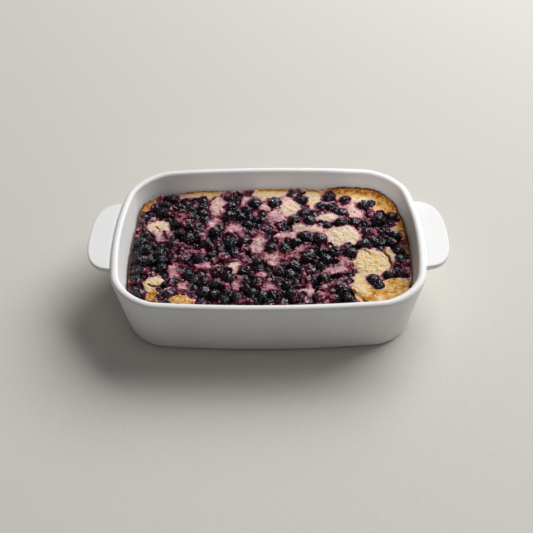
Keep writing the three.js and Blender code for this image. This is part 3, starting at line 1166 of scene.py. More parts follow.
class Draws:
    """Repeatable random numbers from 0 to 1."""

    def __init__(self, seed: int) -> None:
        """Starts the row of numbers at a seed."""
        self.state = seed

    def next(self) -> float:
        """The next number."""
        self.state = (self.state * 1664525 + 1013904223) % 2**32
        return self.state / 2**32


@dataclass(frozen=True)
class BatterForm:
    """The batter's form in the dish, and where things lie on it.

    Attributes:
        form: The dish's form.
        gap: Space between the batter and the ceramic.
        level: Height of the batter's top.
        puff: How far it rises where it is bare.
        puff_margin: How far past a bare patch the rise starts.
        wave: Height of its gentle waves.
        wave_sizes: Stretches of the waves along, across and diagonally.
        wave_start: Where the first wave starts.
        shrinkage: How far it has shrunk from the wall at most.
        back_shrinkage: The share of that at the back.
        shrink_depth: How far down the shrinkage reaches.
        shrink_below: The share of it that is left there.
        crust_rise: Height of the browned crust.
        crust_middle: Where it is tallest, as an angle.
        crust_step_x: Where it steps down along the back.
        crust_step_share: The share of its height that is left there.
        crust_step_width: Half the width of that step.
        flake_rise: Height of the raised flake at the left.
        flake_middle: Where it is, as an angle.
        flake_sharpness: How narrow it is.
        nick_depth: How ragged the crust is.
        crust_depths: Distances from the edge at which the crust's share of its rise is given.
        crust_shares: Those shares.
    """

    form: DishForm
    gap: float = 0.4
    level: float = 38.4
    puff: float = 2.2
    puff_margin: float = 2.0
    wave: float = 0.5
    wave_sizes: Triple = (13.0, 11.0, 7.5)
    wave_start: float = 1.1
    shrinkage: float = 3.4
    back_shrinkage: float = 0.25
    shrink_depth: float = 9.0
    shrink_below: float = 0.6
    crust_rise: float = 5.0
    crust_middle: float = math.pi / 5
    crust_step_x: float = 57.0
    crust_step_share: float = 0.35
    crust_step_width: float = 0.7
    flake_rise: float = 5.0
    flake_middle: float = math.pi * 0.805
    flake_sharpness: float = 60.0
    nick_depth: float = 0.15
    crust_depths: Floats = (0.0, 1.2, 3.4, 6.8)
    crust_shares: Floats = (1.0, 0.9, 0.3, 0.0)

    def height(self, x: Array, y: Array) -> Array:
        """Height of the batter, puffed up where it is bare and gently uneven.

        Args:
            x: Places along the dish.
            y: Places across it.

        Returns:
            The heights.
        """
        reach = np.max([patch.reach(x, y, self.puff_margin) for patch in PATCHES], axis=0)
        size_x, size_y, size_across = self.wave_sizes
        long_wave = np.sin(x / size_x + self.wave_start) * np.cos(y / size_y)
        short_wave = np.sin((x + y) / size_across) / 2
        return self.level + self.puff * np.sqrt(reach) + self.wave * (long_wave + short_wave)

    def shrunk(self, x: Array, y: Array) -> Array:
        """How far the batter has shrunk from the wall beside a point."""
        left = np.maximum(0.0, -x / (self.form.length / 2))
        back = np.maximum(0.0, y / (self.form.width / 2))
        return self.shrinkage * np.minimum(1.0, left**3 + self.back_shrinkage * back**2)

    def depth(self, x: Array, y: Array) -> Array:
        """Distance of a point inside the batter's edge.

        Args:
            x: Places along the dish.
            y: Places across it.

        Returns:
            The distances, negative outside.
        """
        form = self.form
        half_x, half_y, corner = form.half_sizes(self.level, form.wall + self.gap)
        flat_x, flat_y = x, y
        for _ in range(3):
            flat_x = x / (1 - form.end_bow / half_x * (flat_y / half_y) ** 2)
            flat_y = y / (1 - form.side_bow / half_y * (flat_x / half_x) ** 2)
        over_x = np.abs(flat_x) - (half_x - corner)
        over_y = np.abs(flat_y) - (half_y - corner)
        outside = np.hypot(np.maximum(over_x, 0), np.maximum(over_y, 0))
        return corner - outside - np.minimum(np.maximum(over_x, over_y), 0) - self.shrunk(x, y)

    def crust(self, x: Array, y: Array) -> Array:
        """Height of the browned crust at the wall beside a point.

        Args:
            x: Places along the dish.
            y: Places across it.

        Returns:
            The heights over the batter's level.
        """
        angle = np.arctan2(y / self.form.width, x / self.form.length)
        main = np.maximum(0.0, np.cos(angle - self.crust_middle)) ** 2
        flake = np.maximum(0.0, np.cos(angle - self.flake_middle)) ** self.flake_sharpness
        ragged = 1 - self.nick_depth * (1 - np.sin(13 * angle) * np.cos(5 * angle))
        half = self.crust_step_width
        low = ease(self.crust_step_x + half, self.crust_step_x - half, x) * (y > 0)
        step = mix(1.0, self.crust_step_share, low)
        return (self.crust_rise * main * step + self.flake_rise * flake) * ragged

    def crust_share(self, depth: Array) -> Array:
        """The share of the crust's rise at a depth inside the edge."""
        return np.interp(depth, self.crust_depths, self.crust_shares)

    def edge(self, u: Array, v: Array, inset: float, share: float) -> Plan:
        """Lays square coordinates over the batter's top, pulled in by a share of the shrinkage."""
        x, y = self.form.place(u, v, self.level, self.form.wall + self.gap + inset)
        ring = np.maximum(np.abs(u), np.abs(v))
        scale = 1 - share * ring**4 * self.shrunk(x, y) / np.maximum(np.hypot(x, y), TINY)
        return x * scale, y * scale


@dataclass
class BerryLayout:
    """Where all the berries lie.

    Attributes:
        batter: The batter's form.
        seed: Seed of the close cover.
        smallest: Smallest radius in the cover.
        largest: Largest radius in the cover.
        spacing: Least distance of two berries as a share of their radii.
        tries: How many places are tried.
        wall_clearance: Distance from the batter's edge in radii.
        patch_clearance: How far berries keep out of the bare patches, in radii.
        crust_clearance: How far they keep off the crust, as a share of its height.
        sink: How far a berry sinks at most, in radii.
        lift: How far it is lifted at most, in radii.
        ovalness: How far it is from round.
        loose_count: How many are loose.
        loose_room: Distance of loose berries as a share of their radii.
        widest_spread: The first distance tried between loose berries.
        spread_step: How much less is tried each time.
        fill_seed: Seed of the small berries that fill the gaps.
        fill_tries: How many places are tried for those.
        fill_smallest: Their smallest radius.
        fill_largest: Their largest radius.
        fill_spacing: Their least distance as a share of the radii.
        fill_patch_clearance: How far they keep out of the bare patches, in radii.
        fill_pale_limit: How far into a pale area they lie at most, from 0 at its edge to 1.
        fill_wall_clearance: Their least distance from the batter's edge, in radii.
        fill_sink: How far they sink at least, in radii.
        fill_more_sink: How much further they sink at most.
        fill_ovalness: How far they are from round.
        node_tolerance: How far a berry may lie from its node.
        all_berries: The single berries and the close cover.
        loose: Those of them that are nodes.
        fused: Those that are part of the batter's node.
        fillers: The small berries in the gaps.
    """

    batter: BatterForm
    seed: int = 20417
    smallest: float = 4.7
    largest: float = 6.3
    spacing: float = 0.93
    tries: int = 9000
    wall_clearance: float = 1.06
    patch_clearance: float = 0.8
    crust_clearance: float = 0.5
    sink: float = 0.15
    lift: float = 0.35
    ovalness: float = 0.06
    loose_count: int = 57
    loose_room: float = 1.08
    widest_spread: float = 24.0
    spread_step: float = 0.25
    fill_seed: int = 977
    fill_tries: int = 12000
    fill_smallest: float = 3.3
    fill_largest: float = 5.2
    fill_spacing: float = 0.9
    fill_patch_clearance: float = 0.3
    fill_pale_limit: float = 0.25
    fill_wall_clearance: float = 0.85
    fill_sink: float = 0.2
    fill_more_sink: float = 0.4
    fill_ovalness: float = 0.1
    node_tolerance: float = 0.6
    all_berries: list[Berry] = field(default_factory=list)
    loose: list[Berry] = field(default_factory=list)
    fused: list[Berry] = field(default_factory=list)
    fillers: list[Berry] = field(default_factory=list)

    def is_bare(self, x: float, y: float, margin: float) -> bool:
        """Says whether a point lies in a bare patch or within a margin of it."""
        return any(float(patch.reach(x, y, margin)) > 0 for patch in PATCHES)

    def settle(self, berry: Berry, draws: Draws) -> None:
        """Draws a berry's height, turn and ovalness."""
        lift = (self.lift + self.sink) * draws.next() - self.sink
        berry.z = float(self.batter.height(np.array(berry.x), np.array(berry.y))) + lift * berry.radius
        berry.turn = draws.next() * math.pi
        berry.stretch = 1 + self.ovalness * (2 * draws.next() - 1)

    def cover(self) -> list[Berry]:
        """Lays out the single berries and the close cover, by the rule of the solid model.

        Returns:
            The berries, the single ones first.
        """
        draws = Draws(self.seed)
        berries = [Berry(x, y, radius) for x, y, radius in SINGLE_BERRIES]
        for _ in range(self.tries):
            x = (draws.next() - 0.5) * self.batter.form.length
            y = (draws.next() - 0.5) * self.batter.form.width
            radius = self.smallest + (self.largest - self.smallest) * draws.next()
            if any(berry.crowds(x, y, radius, self.spacing) for berry in berries):
                continue
            if self.is_bare(x, y, radius * self.patch_clearance):
                continue
            spot = (np.array(x), np.array(y))
            edge_room = radius * self.wall_clearance + self.crust_clearance * float(self.batter.crust(*spot))
            if float(self.batter.depth(*spot)) > edge_room:
                berries.append(Berry(x, y, radius))
        for berry in berries:
            self.settle(berry, draws)
        return berries

    def choose_loose(self) -> list[Berry]:
        """Picks the loose berries: the largest first, spread evenly and clear of each other.

        Returns:
            The loose berries, in the order of their nodes.
        """
        by_size = sorted(self.all_berries, key=lambda berry: -berry.radius)
        spread = self.widest_spread
        while spread > 0:
            chosen: list[Berry] = []
            for berry in by_size:
                clear = all(
                    math.hypot(other.x - berry.x, other.y - berry.y)
                    > max(spread, (other.radius + berry.radius) * self.loose_room + self.batter.gap)
                    for other in chosen
                )
                if clear and len(chosen) < self.loose_count:
                    chosen.append(berry)
            if len(chosen) == self.loose_count:
                return chosen
            spread -= self.spread_step
        raise ValueError("too few berries for the loose ones")

    def fill(self) -> list[Berry]:
        """Lays small, deeper berries into the gaps of the close cover.

        Returns:
            The small berries.
        """
        draws = Draws(self.fill_seed)
        fillers: list[Berry] = []
        for _ in range(self.fill_tries):
            x = (draws.next() - 0.5) * self.batter.form.length
            y = (draws.next() - 0.5) * self.batter.form.width
            radius = self.fill_smallest + (self.fill_largest - self.fill_smallest) * draws.next() ** 2
            sunk = draws.next()
            if any(berry.crowds(x, y, radius, self.fill_spacing) for berry in self.all_berries + fillers):
                continue
            if self.is_bare(x, y, self.fill_patch_clearance * radius):
                continue
            if any(float(area.reach(x, y)) > self.fill_pale_limit for area in PALE_AREAS):
                continue
            spot = (np.array(x), np.array(y))
            if float(self.batter.depth(*spot)) > radius * self.fill_wall_clearance:
                sink = (self.fill_sink + self.fill_more_sink * sunk) * radius
                filler = Berry(x, y, radius, float(self.batter.height(*spot)) - sink, draws.next() * math.pi)
                filler.stretch = 1 + self.fill_ovalness * (2 * draws.next() - 1)
                fillers.append(filler)
        return fillers

    def lay(self) -> None:
        """Lays out all the berries."""
        self.all_berries = self.cover()
        self.loose = self.choose_loose()
        self.fused = [berry for berry in self.all_berries if berry not in self.loose]
        self.fillers = self.fill()
        LOG.info(
            "berries: %d loose, %d fused, %d fillers", len(self.loose), len(self.fused), len(self.fillers)
        )

    def check_nodes(self) -> None:
        """Stops the script if a loose berry isn't where its node is."""
        for number, berry in enumerate(self.loose, start=1):
            low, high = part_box(f"berry_{number:02d}")
            middle = (low + high) / 2 / MM
            if math.hypot(middle.x - berry.x, middle.y - berry.y) > self.node_tolerance:
                raise ValueError(f"berry {number} has left its node")


class Unevenness(Enum):
    """Kinds of unevenness of the batter: shift of the noise, size, layers and strength of each next one."""

    WARP_ALONG = (40, 8.0, 3, 0.6)
    WARP_ACROSS = (90, 8.0, 3, 0.6)
    PATCHINESS = (210, 6.0, 3, 0.6)
    LUMPS = (0, 5.5, 3, 0.5)
    FINE = (7, 1.9, 2, 0.5)
    BERRY_LINE = (130, 3.2, 3, 0.6)
    HOLE_AREAS = (77, 13.0, 1, 0.5)
    CLIMB = (160, 4.2, 3, 0.6)
    WINE = (500, 11.0, 2, 0.5)
    CLOUDS = (300, 7.0, 3, 0.6)
    CRUST_LINE = (410, 7.0, 1, 0.5)
    BLOTCHES = (60, 6.0, 3, 0.7)


@dataclass(frozen=True)
class TopPoints:
    """What the batter's top is like at some points, in arrays of one shape.

    Attributes:
        x: Places along the dish.
        y: Places across it.
        spot: The same as points for the noise.
        warp_x: Places along the dish, moved about a little.
        warp_y: Places across it, moved about a little.
        bare: How bare the batter is, from 0 to 1.
        patch_stain: How far juice stained the bare batter.
        patch_gold: How far the bare batter browned.
        lumps: The coarse unevenness.
        fine: The fine unevenness.
        depth: Distance inside the batter's edge.
        near: Distance to the outline of the nearest berry.
        crevice: How far the point lies in a gap between two berries.
        hole: How far it lies in an air hole.
        crust: Height of the crust beside it.
        zone: How crumbly the batter is between the berries.
    """

    x: Array
    y: Array
    spot: Array
    warp_x: Array
    warp_y: Array
    bare: Array
    patch_stain: Array
    patch_gold: Array
    lumps: Array
    fine: Array
    depth: Array
    near: Array
    crevice: Array
    hole: Array
    crust: Array
    zone: Array


@dataclass
class Cobbler:
    """The baked batter's fine surface.

    Attributes:
        batter: The batter's form.
        layout: The berries that lie in it.
        steps: Steps of its top along and across the dish.
        warp: How far the outlines of the bare patches wander.
        patch_margin: How far a bare patch's look reaches past its edge.
        crumb: Depth of its crumb relief.
        lump: Height of the lumps between the berries.
        rise: How far it swells up between the berries.
        crevice: Depth of the gaps between neighbouring berries.
        swell: Height of the batter's lip round a berry in a bare patch.
        soak: How far juice spreads from a berry, in soaked and in bare places.
        pale_share: How bare the pale areas between the berries are.
        halo: How strongly the bare batter is tinted round a berry.
        halo_reach: How far that tint spreads.
        climb: How far the batter climbs over the berries, from the barest to the most covered one.
        climb_alone: How far it climbs over a berry that stands alone.
        dome: Height of the climbing batter's dome, in radii.
        lip: How much higher it lies at a berry's outline than on its top.
        zone_size: Distance between the juicy and the crumbly zones.
        hole_spacing: Distance between air holes.
        hole_radius: Radius of an air hole.
        hole_depth: Its depth.
        crust_span: The heights of the crust from which it browns and at which it is all browned.
        crust_mean: The crust's mean height as a share of the solid's.
        crust_raggedness: How far it differs from that.
        outline_share: The radius that counts as a berry's outline, as a share of its own.
        side_shares: Heights of the first rows of its side, as shares of the shrunk part.
        side_middle: Height of the row below them.
        fillet_points: Rows of points in the fillet at the dish's floor.
        noise: Its unevenness.
    """

    batter: BatterForm
    layout: BerryLayout
    steps: tuple[int, int] = (336, 232)
    warp: float = 3.4
    patch_margin: float = 2.2
    crumb: float = 0.5
    lump: float = 1.3
    rise: float = 1.7
    crevice: float = 1.9
    swell: float = 0.6
    soak: tuple[float, float] = (2.4, 1.15)
    pale_share: float = 0.75
    halo: float = 0.3
    halo_reach: float = 4.5
    climb: tuple[float, float] = (-3.2, -1.0)
    climb_alone: float = -3.6
    dome: float = 0.87
    lip: float = 1.6
    zone_size: float = 15.0
    hole_spacing: float = 5.5
    hole_radius: float = 0.75
    hole_depth: float = 1.0
    crust_span: tuple[float, float] = (1.8, 3.4)
    crust_mean: float = 1.12
    crust_raggedness: float = 0.22
    outline_share: float = 0.92
    side_shares: Floats = (0.85, 0.6, 0.3, 0.0)
    side_middle: float = 24.0
    fillet_points: int = 4
    noise: Noise = Noise(5)

    def uneven(self, kind: Unevenness, spot: Array) -> Array:
        """Values of one kind of unevenness, from about -1 to 1."""
        shift, size, layers, keep = kind.value
        return self.noise.layered(spot + shift, size, layers, keep)

    def berry_gaps(self, x: Array, y: Array) -> Plan:
        """Distances from points to the outlines of the nearest and second nearest berry.

        Args:
            x: Places along the dish.
            y: Places across it.

        Returns:
            The two distances, negative inside a berry.
        """
        berries = self.layout.all_berries + self.layout.fillers
        middles = np.array([(berry.x, berry.y, berry.radius) for berry in berries])
        nearest = np.empty(x.size)
        second = np.empty(x.size)
        for part, apart in distances_in_parts(x, y, middles):
            closest = np.partition(apart - self.outline_share * middles[:, 2], 1, axis=1)
            nearest[part] = closest[:, 0]
            second[part] = closest[:, 1]
        return nearest.reshape(x.shape), second.reshape(x.shape)

    def crumbly(self, x: Array, y: Array) -> Array:
        """How crumbly and pale the batter between the berries is: 0 where it is all juice, up to 1."""
        swells = self.noise.layered(flat_points(x, y, 200.0), self.zone_size, 3, 0.6)
        return ease(0.02, 0.34, swells - 0.1 + 0.15 * ease(-60, 60, x))

    def climbing(self, x: Array, y: Array) -> Array:
        """Height of the batter that climbs over the berries, far below where there is no berry.

        Args:
            x: Places along the dish.
            y: Places across it.

        Returns:
            The heights.
        """
        rng = np.random.default_rng(8)
        berries = self.layout.all_berries
        middles = np.array([(berry.x, berry.y, berry.radius, berry.z) for berry in berries])
        offset = self.climb[0] + (self.climb[1] - self.climb[0]) * rng.random(len(berries)) ** 1.5
        offset[: len(SINGLE_BERRIES)] = self.climb_alone
        found = np.empty(x.size)
        for part, apart in distances_in_parts(x, y, middles):
            share = apart / middles[:, 2]
            top = middles[:, 3] + self.dome * middles[:, 2] * np.sqrt(np.maximum(1 - share**2, 0))
            top = top + offset + self.lip * ease(0.65, 1.0, share)
            found[part] = np.where(share < 1.0, top, -FAR).max(axis=1)
        return found.reshape(x.shape)

    def crust_height(self, x: Array, y: Array) -> Array:
        """Height of the crust, finely ragged."""
        ragged = self.noise.layered(flat_points(x, y, 33.0), 4.0, 3)
        return self.batter.crust(x, y) * (self.crust_mean + self.crust_raggedness * ragged)

    def patch_looks(self, spot: Array, warp_x: Array, warp_y: Array) -> tuple[Array, Array, Array]:
        """How bare the batter is at points, and how the bare batter looks there.

        Args:
            spot: The points.
            warp_x: Their places along the dish, moved about a little.
            warp_y: Their places across it, moved about a little.

        Returns:
            The bareness, the stain and the browning, each from 0 to 1.
        """
        margin = self.patch_margin
        strong = [ease(0.0, 0.5, patch.reach(warp_x, warp_y, margin)) for patch in PATCHES]
        patchy = np.clip(self.pale_share * (0.9 + 0.7 * self.uneven(Unevenness.PATCHINESS, spot)), 0, 1)
        weak = [patchy * ease(0.0, 0.6, area.reach(warp_x, warp_y)) for area in PALE_AREAS]
        weights = np.stack(strong + weak)
        share = weights**3 / np.maximum((weights**3).sum(axis=0), TINY)
        tints = np.array([patch.tint.value for patch in PATCHES + PALE_AREAS])
        stain, gold = (np.tensordot(tints[:, column], share, axes=1) for column in (0, 1))
        return weights.max(axis=0), stain, gold

    def survey(self, x: Array, y: Array) -> TopPoints:
        """Finds out what the batter's top is like at points.

        Args:
            x: Places along the dish.
            y: Places across it.

        Returns:
            What it is like there.
        """
        spot = flat_points(x, y)
        warp_x = x + self.warp * self.uneven(Unevenness.WARP_ALONG, spot)
        warp_y = y + self.warp * self.uneven(Unevenness.WARP_ACROSS, spot)
        bare, patch_stain, patch_gold = self.patch_looks(spot, warp_x, warp_y)
        depth = self.batter.depth(x, y)
        crust = self.crust_height(x, y)
        near, next_near = self.berry_gaps(x, y)
        from_hole = self.noise.cells(spot, self.hole_spacing) * self.hole_spacing
        return TopPoints(
            x=x,
            y=y,
            spot=spot,
            warp_x=warp_x,
            warp_y=warp_y,
            bare=np.maximum(bare, self.batter.crust_share(depth) * ease(*self.crust_span, crust)),
            patch_stain=patch_stain,
            patch_gold=patch_gold,
            lumps=self.uneven(Unevenness.LUMPS, spot),
            fine=self.uneven(Unevenness.FINE, spot),
            depth=depth,
            near=near,
            crevice=bell(np.maximum(near, 0), 0.9) * bell(np.maximum(next_near, 0), 1.5),
            hole=bell(from_hole, self.hole_radius) * ease(0.1, 0.5, self.uneven(Unevenness.HOLE_AREAS, spot)),
            crust=crust,
            zone=self.crumbly(x, y),
        )

    def top_height(self, top: TopPoints) -> Array:
        """Height of the top: swells, crumb, crust, holes, its climb over the berries, and cracks.

        Args:
            top: What the top is like.

        Returns:
            The heights.
        """
        bare, lumps, near = top.bare, top.lumps, top.near
        height = self.batter.height(top.x, top.y) + self.batter.crust_share(top.depth) * top.crust
        height = height + self.crumb * top.fine * mix(1.3, 0.8, bare)
        height = height + self.lump * lumps * mix(1.0, 0.5, bare)
        height = height + self.rise * ease(0.1, 1.9, near) * (1 - bare) * (1.6 * top.zone - 0.5 + 0.6 * lumps)
        height = height - self.crevice * top.crevice * mix(1.0, 0.3, bare) * ease(-0.3, 0.3, -lumps)
        height = height + self.swell * bell(near - 1.0, 1.0) * bare - self.hole_depth * top.hole * bare
        over = self.climbing(top.x, top.y) + 1.3 * self.uneven(Unevenness.CLIMB, top.spot) + 1.7 * top.zone
        deepest = np.max([crack.reach(top.x, top.y) * crack.depth for crack in CRACKS], axis=0)
        return np.maximum(height, over) - deepest

    def soaked(self, top: TopPoints) -> Array:
        """How far juice stained the batter between the berries, where it isn't bare."""
        wine = 0.22 * ease(-0.1, 0.45, self.uneven(Unevenness.WINE, top.spot)) * ease(60, -20, top.x)
        paler_lumps = mix(0.08, 0.24, top.zone) * ease(-0.1, 0.8, top.lumps)
        return mix(1.0 - wine, 0.52, top.zone) - paler_lumps - 0.12 * top.fine

    def halo_tint(self, top: TopPoints, away: Array) -> Array:
        """How much more stained the batter is round a berry: least where it is golden or pink."""
        halo = self.halo * np.exp(-away / self.halo_reach) * (1 - ease(0.1, 0.4, top.patch_gold))
        return halo * (1 - 0.8 * ease(0.2, 0.5, top.patch_stain))

    def stain(self, top: TopPoints, away: Array, juice: Array) -> Array:
        """How far juice stained the top, with painted shade in the gaps between berries.

        Args:
            top: What the top is like.
            away: The ragged distance from the nearest berry.
            juice: How strongly its juice reaches there.

        Returns:
            The stain, from about 0 for bare batter to 1 for standing juice and for the painted shade in gaps.
        """
        bare, zone = top.bare, top.zone
        clouds = self.uneven(Unevenness.CLOUDS, top.spot)
        clouded = top.patch_stain * (1 + 0.35 * clouds) + 0.05 * clouds - 0.05 * top.fine
        plain = mix(self.soaked(top), clouded, bare)
        plain = plain + self.halo_tint(top, away) * bare * (1 + 0.8 * top.lumps)
        stain = plain + (0.98 - plain) * juice * mix(0.9 - 0.25 * zone, 1.0, bare)
        smear = mix(mix(0.88, 0.58, zone), 0.8, bare) - 0.2 * top.lumps - 0.16 * top.fine
        stain = mix(stain, np.minimum(stain, smear), ease(0.2, 1.4, -top.near))
        # Gaps between neighbouring berries are painted near black: dark juice and painted shade.
        return np.maximum(stain, 0.97 * top.crevice * (1 - 0.6 * bare))

    def gold(self, top: TopPoints, crusted: Array, juice: Array) -> Array:
        """How far the top browned, in its golden patches and along the crust.

        Args:
            top: What the top is like.
            crusted: How far the crust is browned.
            juice: How strongly a berry's juice reaches there.

        Returns:
            The browning.
        """
        by_wall = bell(np.maximum(top.depth - 1.2, 0), 3.0 + 5.0 * crusted)
        edge_gold = by_wall * np.maximum(crusted, 0.9 * top.bare) * (0.85 + 0.5 * top.lumps)
        blotches = 1 + 0.9 * self.uneven(Unevenness.BLOTCHES, top.spot)
        gold = np.maximum(top.patch_gold * blotches * top.bare, edge_gold)
        return gold * ease(0.62, 0.2, juice * mix(1.2, 1.0, top.bare))

    def char(self, top: TopPoints, crusted: Array) -> Array:
        """How dark the top is: browned crust at its edge, painted shade in its air holes and cracks."""
        char = bell(top.depth, 0.8 + 1.0 * crusted) * (0.5 + 0.5 * crusted + 0.7 * top.fine)
        crack_x, crack_y = top.warp_x / 3 + top.x / 1.5, top.warp_y / 3 + top.y / 1.5
        cracks = np.max([crack.reach(crack_x, crack_y) for crack in CRACKS], axis=0)
        # Air holes and cracks get painted shade: the dark crust colour is laid where shade falls.
        return np.maximum(char + 0.25 * top.hole * top.bare, 0.95 * cracks * (top.near > 0.4))

    def surface(self, x: Array, y: Array) -> tuple[Array, dict[str, Array]]:
        """Height and painted values of the batter's top.

        Args:
            x: Places along the dish.
            y: Places across it.

        Returns:
            The heights, and the values named stain, gold, char and wet; stain and char also hold painted
            shade.
        """
        top = self.survey(x, y)
        away = np.maximum(top.near + 0.8 * self.uneven(Unevenness.BERRY_LINE, top.spot), 0)
        juice = np.exp(-away / mix(self.soak[0], self.soak[1], top.bare * (1 - top.patch_stain)))
        crusted = ease(*self.crust_span, top.crust + 0.7 * self.uneven(Unevenness.CRUST_LINE, top.spot))
        stain = self.stain(top, away, juice)
        values = {
            "stain": stain,
            "gold": self.gold(top, crusted, juice),
            "char": self.char(top, crusted),
            "wet": ease(0.55, 0.9, stain) * (1 - 0.6 * ease(0.1, 0.9, top.lumps)),
        }
        return self.top_height(top), {name: np.clip(value, 0, 1) for name, value in values.items()}

    def side_rows(self, edge_z: Array) -> list[tuple[Array, Array, Array]]:
        """Rows of the batter's side from under its top down to the dish's floor.

        Args:
            edge_z: Heights of the top's edge.

        Returns:
            The plan places and heights of each row.
        """
        batter, form = self.batter, self.batter.form
        loop_u, loop_v = square_loop(*self.steps)
        side_low = batter.level - batter.shrink_depth
        rows = []
        for share in self.side_shares:
            shrink = batter.shrink_below + (1 - batter.shrink_below) * share
            x, y = batter.edge(loop_u, loop_v, 0.0, shrink)
            rows.append((x, y, side_low + (edge_z - side_low) * share))
        centre = form.floor + form.fillet
        for height in (self.side_middle, centre):
            x, y = form.place(loop_u, loop_v, height, form.wall + batter.gap)
            rows.append((x, y, np.full_like(x, height)))
        cavity = form.fillet - batter.gap
        for turn in np.linspace(0, math.pi / 2, self.fillet_points)[1:]:
            x, y = form.place(loop_u, loop_v, centre, form.wall + form.fillet - cavity * math.cos(turn))
            rows.append((x, y, np.full_like(x, centre - cavity * math.sin(turn))))
        return rows

    def build(self, finish: BakedBatter) -> None:
        """Builds the batter and dresses it.

        Args:
            finish: Its finish.
        """
        maker = MeshMaker()
        x, y = self.batter.edge(*square_grid(*self.steps), 0.0, 1.0)
        height, values = self.surface(x, y)
        top = maker.add(np.stack([x, y, height], axis=-1), **values)
        maker.grid(top)
        upper = border(top)
        for row in self.side_rows(border(height)):
            upper = self.add_side(maker, upper, np.stack(row, axis=-1))
        maker.cap(upper, False)
        dress(maker.finish("baked_batter"), finish.material(), ["cobbler_batter"])

    def add_side(self, maker: MeshMaker, upper: Array, spot: Array) -> Array:
        """Adds one row of the batter's side, browned and stained.

        Args:
            maker: The mesh that it joins.
            upper: Point numbers of the row above.
            spot: The row's points.

        Returns:
            The row's point numbers.
        """
        lower = maker.add(
            spot,
            stain=np.clip(0.75 + 0.3 * self.noise.smooth(spot, 8.0), 0, 1),
            gold=0.5 + 0.3 * self.noise.smooth(spot + 30, 6.0),
            char=0.75 + 0.35 * self.noise.smooth(spot + 60, 4.0),
            wet=np.full(spot.shape[:-1], 0.3),
        )
        maker.band(lower, upper)
        return lower


@dataclass(frozen=True)
class BerryLooks:
    """What differs from berry to berry in one piece, with one entry for each berry.

    Attributes:
        dent_at: Direction of its dent.
        crown_at: Direction of its crown.
        dented: Strength of its dent, from 0 to 1.
        crowned: Whether its crown shows.
        tone: How reddish it is, from 0 to 1.
        film: How much crumb film lies on it.
        offset: Where it lies in the noise.
        alone: Whether it stands alone in bare batter.
    """

    dent_at: Array
    crown_at: Array
    dented: Array
    crowned: Array
    tone: Array
    film: Array
    offset: Array
    alone: Array


